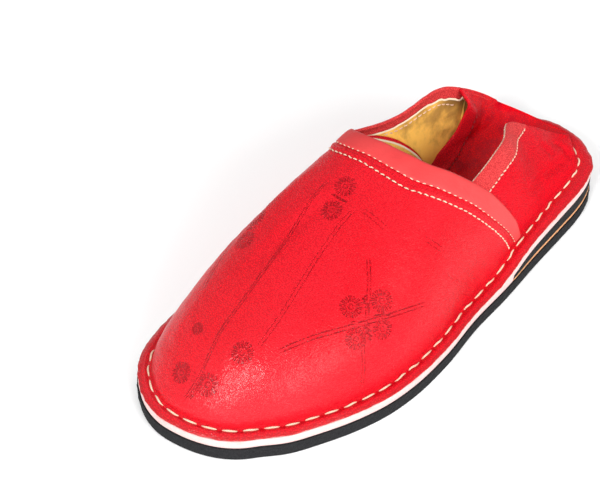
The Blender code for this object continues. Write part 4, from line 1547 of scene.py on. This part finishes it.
    def band(self, finish: Finish) -> bpy.types.Object:
        """Builds the folded band over the collar edge.

        Its closed profile runs from its outer border over the edge to its inner border and back on the
        leather, and is carried along the edge from foot to foot.

        Args:
            finish: the band's finish.

        Returns:
            The band.
        """
        last = self.last
        profile = np.array(
            [
                (1.00, 0.10), (1.01, 0.55), (0.97, 0.95), (0.85, 1.20), (0.60, 1.40), (0.35, 1.55),
                (0.15, 1.65), (0.03, 1.60), (-0.06, 1.30), (-0.12, 0.60), (-0.14, -0.40), (-0.12, -1.40),
                (-0.06, -2.05), (0.02, -2.35), (0.08, -2.48), (0.15, -2.45), (0.20, -2.35), (0.22, -2.12),
                (0.20, -1.90), (0.10, -1.92), (0.02, -1.80), (-0.03, -0.85), (0.02, 0.10), (0.40, 0.08),
                (0.80, 0.08), (1.00, 0.10),
            ]
        )
        turn = np.concatenate([[0.004], np.linspace(0.012, 0.988, 190), [0.996]])
        start = last.collar_along(turn)
        wide = smooth(COLLAR_ROWS, 1, turn) + 0.0002
        reach = profile[:, :1] * wide
        along = start + np.maximum(reach, 0)
        point, forward, out = last.arch_frame(along, turn + 0 * along)
        moved = self.unevenness(point.reshape(-1, 3), np.zeros(point[..., 0].size, bool))
        point = point + out * moved.reshape(*point.shape[:2], 1)
        point = point + forward * np.minimum(reach, 0)[..., None]
        puff = 1 + 0.12 * ripple(point[12], 0.013, 21)
        notch = self.notch_column / self.arch_columns
        free = ease(notch - 0.015, notch + 0.015, np.minimum(turn, 1 - turn))
        height = profile[:, 1:] * 0.001 * puff
        height = np.where(height < 0, height * (0.25 + 0.75 * free), height)
        grid = point + out * height[..., None]
        grid[-1] = grid[0]
        middle = grid[:-1].mean(axis=0)
        grid[:, 0] = grid[:, 0] * 0.3 + middle[0] * 0.7
        grid[:, -1] = grid[:, -1] * 0.3 + middle[-1] * 0.7
        caps = [np.stack([np.repeat(middle[k][None], len(grid), 0), grid[:, k]]) for k in (0, -1)]
        caps[1] = caps[1][::-1]
        body = grid.transpose(1, 0, 2)
        sheet = Sheet.from_grids([caps[0], body, caps[1]], {})
        return sheet.add("collar_band_leather", finish)

    def seam_path(self) -> tuple[Array, Array]:
        """Closed line of the sole stitches on the turned-out edge, with outward directions."""
        last = self.last
        loop = last.inset(last.foot, -self.seam_out)
        loop = loop[::6]
        loop = np.concatenate([loop, loop[:1]])
        height = last.foot_height(loop[:, 1]) - 0.00035
        point = last.place(loop[:, 0], loop[:, 1], height)
        run = unit(np.gradient(point, axis=0))
        inward = np.stack([-run[:, 1], run[:, 0], 0 * height], 1)
        inward *= np.sign((inward * (np.array([0, 0, 0]) - point)).sum(axis=1).mean())
        return point, unit(np.array([0, 0, 1.0]) - 0.45 * inward)


class Soles:
    """The sheets under the slipper, each cut to the same outline."""

    stations: int = 260
    columns: int = 14

    def __init__(self, last: Last) -> None:
        """Keeps the form."""
        self.last = last

    def sheet(
        self,
        loop: Array,
        bottom: Callable,
        top: Callable,
        until: float = 9.0,
        steps: tuple = (),
        rough: float = 0.0003,
        seed: int = 1,
    ) -> Sheet:
        """Builds one sheet between two heights.

        Lines across the outline at distances along that crowd towards its round ends give both faces, and
        the side between them bulges a little and is torn by two sizes of ripple.

        Args:
            loop: outline as (across, along).
            bottom: height of the underside by the distance along.
            top: height of the upper face by the distance along.
            until: distance along at which the sheet is cut off straight.
            steps: distances along that need a line of their own.
            rough: how far the side is torn.
            seed: number that fixes the tears.

        Returns:
            The closed surface.
        """
        (heel, toe), lateral, medial = self.last.sides(loop)
        turn = np.linspace(0, np.pi, self.stations)
        share = 0.45 * turn / np.pi + 0.55 * (1 - np.cos(turn)) / 2
        close = np.array([0.00008, 0.0003, 0.0007, 0.0013, 0.0021])
        end = min(until, toe)
        along = np.concatenate([heel + (toe - heel) * share, heel + close, toe - close, steps, [end]])
        along = np.unique(np.round(np.clip(along, heel, end), 6))
        at_end = (along < heel + 1e-5) | (along > toe - 1e-5)
        middle = (lateral(along) + medial(along)) / 2
        left = np.where(at_end, middle, lateral(along))
        right = np.where(at_end, middle, medial(along))
        over = (1 - np.cos(np.linspace(0, np.pi, self.columns))) / 2
        across = left[:, None] + (right - left)[:, None] * over
        upper = self.last.place(across, along[:, None], top(along)[:, None])
        lower = self.last.place(across, along[:, None], bottom(along)[:, None])
        order = np.arange(across.size).reshape(across.shape)
        face = Sheet.from_grids([upper], {"n": [order]})
        under = lower.reshape(-1, 3)[face.marks.pop("n").astype(int)]

        def torn(part: float, at: Array) -> Array:
            """Distance outwards of the side: a slight round with ripples that change with height."""
            shifted = at + np.array([0, 0, 0.004 * part])
            tears = 0.6 * ripple(shifted, 0.0035, seed) + 0.4 * ripple(shifted, 0.0016, seed + 1)
            return 0.0002 * np.sin(np.pi * part) + rough * tears

        return face.thicken(under, 5, torn)

    def build(self, rubber: Finish, layer: Finish, pale: Finish, footbed: Finish) -> list[bpy.types.Object]:
        """Builds the five sheets from the floor up.

        Args:
            rubber: finish of tread and wedge.
            layer: finish of the thin heel layer.
            pale: finish of the midsole.
            footbed: finish of the insole.

        Returns:
            Tread, heel layer, wedge, midsole and insole.
        """
        last = self.last
        sizes = last.sizes
        end = sizes.heel_layers_end
        gap = sizes.gap

        def shifted(height: Callable, by: float) -> Callable:
            """A height by the distance along, moved up."""
            return lambda along: height(along) + by

        tread = self.sheet(last.tread, last.spring, last.outsole_top, rough=0.0004, seed=31)
        low = shifted(last.outsole_top, gap)
        thin = self.sheet(last.edge, low, last.layer_top, until=end, rough=0.0002, seed=33)
        low, high = shifted(last.layer_top, gap), shifted(last.midsole_bottom, -gap)
        wedge = self.sheet(last.edge, low, high, until=end, rough=0.0003, seed=35)
        steps = (end, end + gap, end + 2 * gap)
        low, high = last.midsole_bottom, last.midsole_top
        middle = self.sheet(last.edge, low, high, steps=steps, rough=0.00018, seed=37)
        bed = last.inset(last.foot, sizes.insole_inset)
        inner = self.sheet(bed, shifted(last.midsole_top, gap), last.insole_top, rough=0.0001, seed=39)
        return [
            tread.add("tread_sheet", rubber),
            thin.add("heel_layer_sheet", layer),
            wedge.add("heel_wedge_block", rubber),
            middle.add("midsole_sheet", pale),
            inner.add("insole_sheet", footbed),
        ]


class Ornament:
    """Flowers and tooled lines on the vamp, as marks on the points of its face."""

    def __init__(self, last: Last) -> None:
        """Keeps the form."""
        self.last = last

    def flower_marks(self, points: Array) -> dict[str, Array]:
        """Place of each point in radii from the nearest flower's centre, right and up in its plane."""
        table = np.array(FLOWERS)
        centre, forward, out = self.last.arch_frame(table[:, 1], table[:, 0])
        over = np.cross(out, forward)
        off = (points[:, None] - centre) / table[:, 2:3]
        nearest = np.argmin(np.linalg.norm(off, axis=2), axis=1)
        pick = np.arange(len(points))
        right = (off * forward).sum(axis=2)[pick, nearest]
        up = (off * over).sum(axis=2)[pick, nearest]
        near = np.linalg.norm(off, axis=2)[pick, nearest] < 1.2
        return {"flower_right": right, "flower_up": up, "flower_depth": near.astype(float)}

    @staticmethod
    def nearest_line(points: Array, lines: list[tuple], names: tuple[str, ...]) -> dict[str, Array]:
        """Works out where each point lies beside the nearest of several lines.

        The side is the distance with the sign of the side that the point is on. The depth fades out at the
        line's ends and is nothing further than 2.4 mm away.

        Args:
            points: places, one per row.
            lines: for each line its points, outward directions, spacing and depth.
            names: names of the marks for side, half the spacing and depth.

        Returns:
            The three marks.
        """
        best = np.full(len(points), 1.0)
        side, half, depth = np.ones(len(points)), np.zeros(len(points)), np.zeros(len(points))
        for path, out, spacing, strength in lines:
            around = (points >= path.min(0) - 0.004) & (points <= path.max(0) + 0.004)
            close = np.flatnonzero(around.all(axis=1))
            if not len(close):
                continue
            start = path[:-1]
            run = path[1:] - start
            off = points[close, None] - start
            share = np.clip((off * run).sum(axis=2) / (run**2).sum(axis=1), 0, 1)
            away = off - share[:, :, None] * run
            gap = np.linalg.norm(away, axis=2)
            piece = np.argmin(gap, axis=1)
            pick = np.arange(len(close))
            across = unit(np.cross(run, (out[:-1] + out[1:]) / 2))
            signed = (away * across).sum(axis=2)[pick, piece]
            reach = (piece + share[pick, piece]) / len(run)
            fade = ease(0.0, 0.04, reach) * ease(1.0, 0.96, reach)
            better = gap[pick, piece] < best[close]
            into = close[better]
            best[into] = gap[pick, piece][better]
            side[into] = signed[better]
            half[into] = spacing / 2
            depth[into] = np.where(best[into] < 0.0024, strength * fade[better], 0)
        return dict(zip(names, (side, half, depth)))

    def line_marks(self, points: Array) -> dict[str, Array]:
        """Marks of the two sets of tooled lines; lines of one set do not cross each other."""
        marks = {}
        for number, name in enumerate(("first", "second")):
            lines = []
            for line in TOOLED_LINES:
                if line.group == number:
                    turn, along = through(line.knots, 40)
                    path, _, out = self.last.arch_frame(along, turn)
                    lines.append((path, out, line.spacing, line.depth))
            names = (name + "_side", name + "_half", name + "_depth")
            marks |= self.nearest_line(points, lines, names)
        return marks


@dataclass(frozen=True)
class Studio:
    """Pale floor, soft light and the camera."""

    place: tuple = (0.3307, -0.3858, 0.545)
    tilt: float = 44.8
    heading: float = 46.3
    lens: float = 87.0
    shift: tuple = (0.02, 0.0)

    def build(self) -> None:
        """Adds floor, lights, world and camera."""
        scene = bpy.context.scene
        scene.view_settings.view_transform = "Standard"
        edge = np.linspace(-3, 3, 13)
        across, along = np.meshgrid(edge, edge, indexing="ij")
        grid = np.stack([across, along, 0 * across - 0.0002], -1)
        matt = Finish("Floor", (0.97, 0.97, 0.97), 0.8, shine=0.0)
        floor = Sheet.from_grids([grid], {}).add("floor", matt)
        self.light("Key", (0.45, -1.45, 1.15), (0.45, 0.45), 23.0)
        self.light("Low strip", (0.62, -1.05, 0.26), (1.2, 0.10), 2.6)
        self.light("Fill", (1.7, -0.20, 0.85), (1.2, 1.2), 33.0)
        self.light("Back", (-0.9, 1.0, 1.7), (1.2, 1.2), 7.0)
        world = bpy.data.worlds.new("Studio")
        world.use_nodes = True
        world.node_tree.nodes["Background"].inputs["Color"].default_value = (1.0, 1.0, 1.0, 1.0)
        world.node_tree.nodes["Background"].inputs["Strength"].default_value = 0.52
        scene.world = world
        data = bpy.data.cameras.new("Camera")
        data.lens = self.lens
        data.sensor_width = 36.0
        data.shift_x, data.shift_y = self.shift
        data.clip_start = 0.01
        camera = bpy.data.objects.new("Camera", data)
        camera.location = self.place
        camera.rotation_euler = (np.radians(self.tilt), 0.0, np.radians(self.heading))
        scene.collection.objects.link(camera)
        scene.camera = camera

    def light(self, name: str, place: tuple, size: tuple, power: float) -> None:
        """Adds a soft box that faces the slipper.

        Args:
            name: its name.
            place: where it hangs.
            size: its width and height.
            power: its power in watts.
        """
        data = bpy.data.lights.new(name, "AREA")
        data.shape = "RECTANGLE"
        data.size, data.size_y = size
        data.energy = power
        lamp = bpy.data.objects.new(name, data)
        lamp.location = place
        towards = unit(np.array([0.0, 0.0, 0.03]) - np.array(place))
        lamp.rotation_euler = (np.arccos(-towards[2]), 0.0, np.arctan2(-towards[0], towards[1]))
        bpy.context.scene.collection.objects.link(lamp)


def dress(piece: bpy.types.Object, slot: str, *nodes: str) -> None:
    """Lets a piece ride on the slipper and hides the nodes that it stands for."""
    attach(piece, "root")
    if nodes:
        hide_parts(*nodes)


def main() -> None:
    """Builds the slipper's pieces in order, then the studio."""
    logging.basicConfig(level=logging.INFO)
    last = Last(Sizes())
    upper = Upper(last, Ornament(last))
    red = VampLeather("Red leather", (0.76, 0.004, 0.012), 0.36, 0.10, 0.10)
    coral = BandLeather("Coral leather", (0.58, 0.040, 0.042), 0.5, 0.0, 0.12)
    suede = Suede("Tan suede", (0.95, 0.53, 0.10), 0.9, shine=0.1)
    sole_thread = Thread("Sole thread", (0.95, 0.78, 0.58), 0.7)
    dim_thread = Thread("Red thread", (0.40, 0.012, 0.020), 0.7, dark=(0.20, 0.004, 0.008))
    fine_thread = Thread("Fine thread", (0.92, 0.66, 0.50), 0.7)
    rubber = CutSheet("Black rubber", (0.009, 0.009, 0.010), 0.8, shine=0.12)
    layer = CutSheet("Heel layer leather", (0.62, 0.27, 0.11), 0.7, worn=(0.75, 0.42, 0.22))
    pale = CutSheet("Pale midsole", (0.68, 0.47, 0.45), 0.8, worn=(0.76, 0.60, 0.58), stain=0.40, shine=0.1)
    footbed = CutSheet("Footbed leather", (0.42, 0.27, 0.12), 0.65, worn=(0.52, 0.36, 0.18), depth=0.0002)

    dress(upper.build(red), "upper", "upper")
    columns = upper.back_columns_grid()
    free = upper.free_edge()
    wave = 0.0008 * ripple(free, 0.009, 41) + 0.0003 * ripple(free, 0.003, 42)
    wave = np.interp(upper.way, np.linspace(0, 1, len(wave)), wave)
    cut = upper.line_at(columns, free, upper.fold_width + wave)
    cut = np.minimum(cut, upper.fold_limit())
    dress(upper.lining(columns, cut, 1.0, "quarter_lining", suede), "upper")
    vamp_rows = upper.vamp[::-1]
    wave = 0.0005 * ripple(vamp_rows[-1], 0.008, 43)
    cut = upper.line_at(vamp_rows, upper.collar_edge(), 0.0036 + wave)
    dress(upper.lining(vamp_rows, cut, -1.0, "vamp_lining", suede), "upper")
    dress(upper.band(coral), "collar_band", "collar_band")

    tread, thin, wedge, middle, bed = Soles(last).build(rubber, layer, pale, footbed)
    dress(tread, "outsole", "outsole")
    dress(thin, "heel_layer", "heel_layer")
    dress(wedge, "heel_wedge", "heel_wedge")
    dress(middle, "midsole", "midsole")
    dress(bed, "insole", "insole")

    point, out = upper.seam_path()
    dress(Shape.SOLE.row(point, out, 51).add("sole_stitches", sole_thread), "upper")
    for column, name in ((1, "collar_stitches_upper"), (2, "collar_stitches_lower")):
        point, out = upper.collar_path(column)
        point = point + out * (0.0004 if column == 1 else 0.0003)
        dress(Shape.MACHINE.row(point, out, 52 + column).add(name, fine_thread), "upper")
    near, far, back = upper.hem_rows(upper.hem_row)
    rows = (("near_hem_stitches", near, fine_thread), ("far_hem_stitches", far, fine_thread))
    for name, (point, out), thread in (*rows, ("back_hem_stitches", back, dim_thread)):
        dress(Shape.MACHINE.row(point + out * 0.0003, out, 55).add(name, thread), "upper")
    for name, (point, out), thread in rows:
        inside = (point - out * (last.sizes.wall + upper.lining_thick + 0.0001))[: len(out) * 3 // 5]
        dress(Shape.MACHINE.row(inside, -out[: len(inside)], 56).add(name + "_inside", thread), "upper")

    Studio().build()


if __name__ == "__main__":
    main()
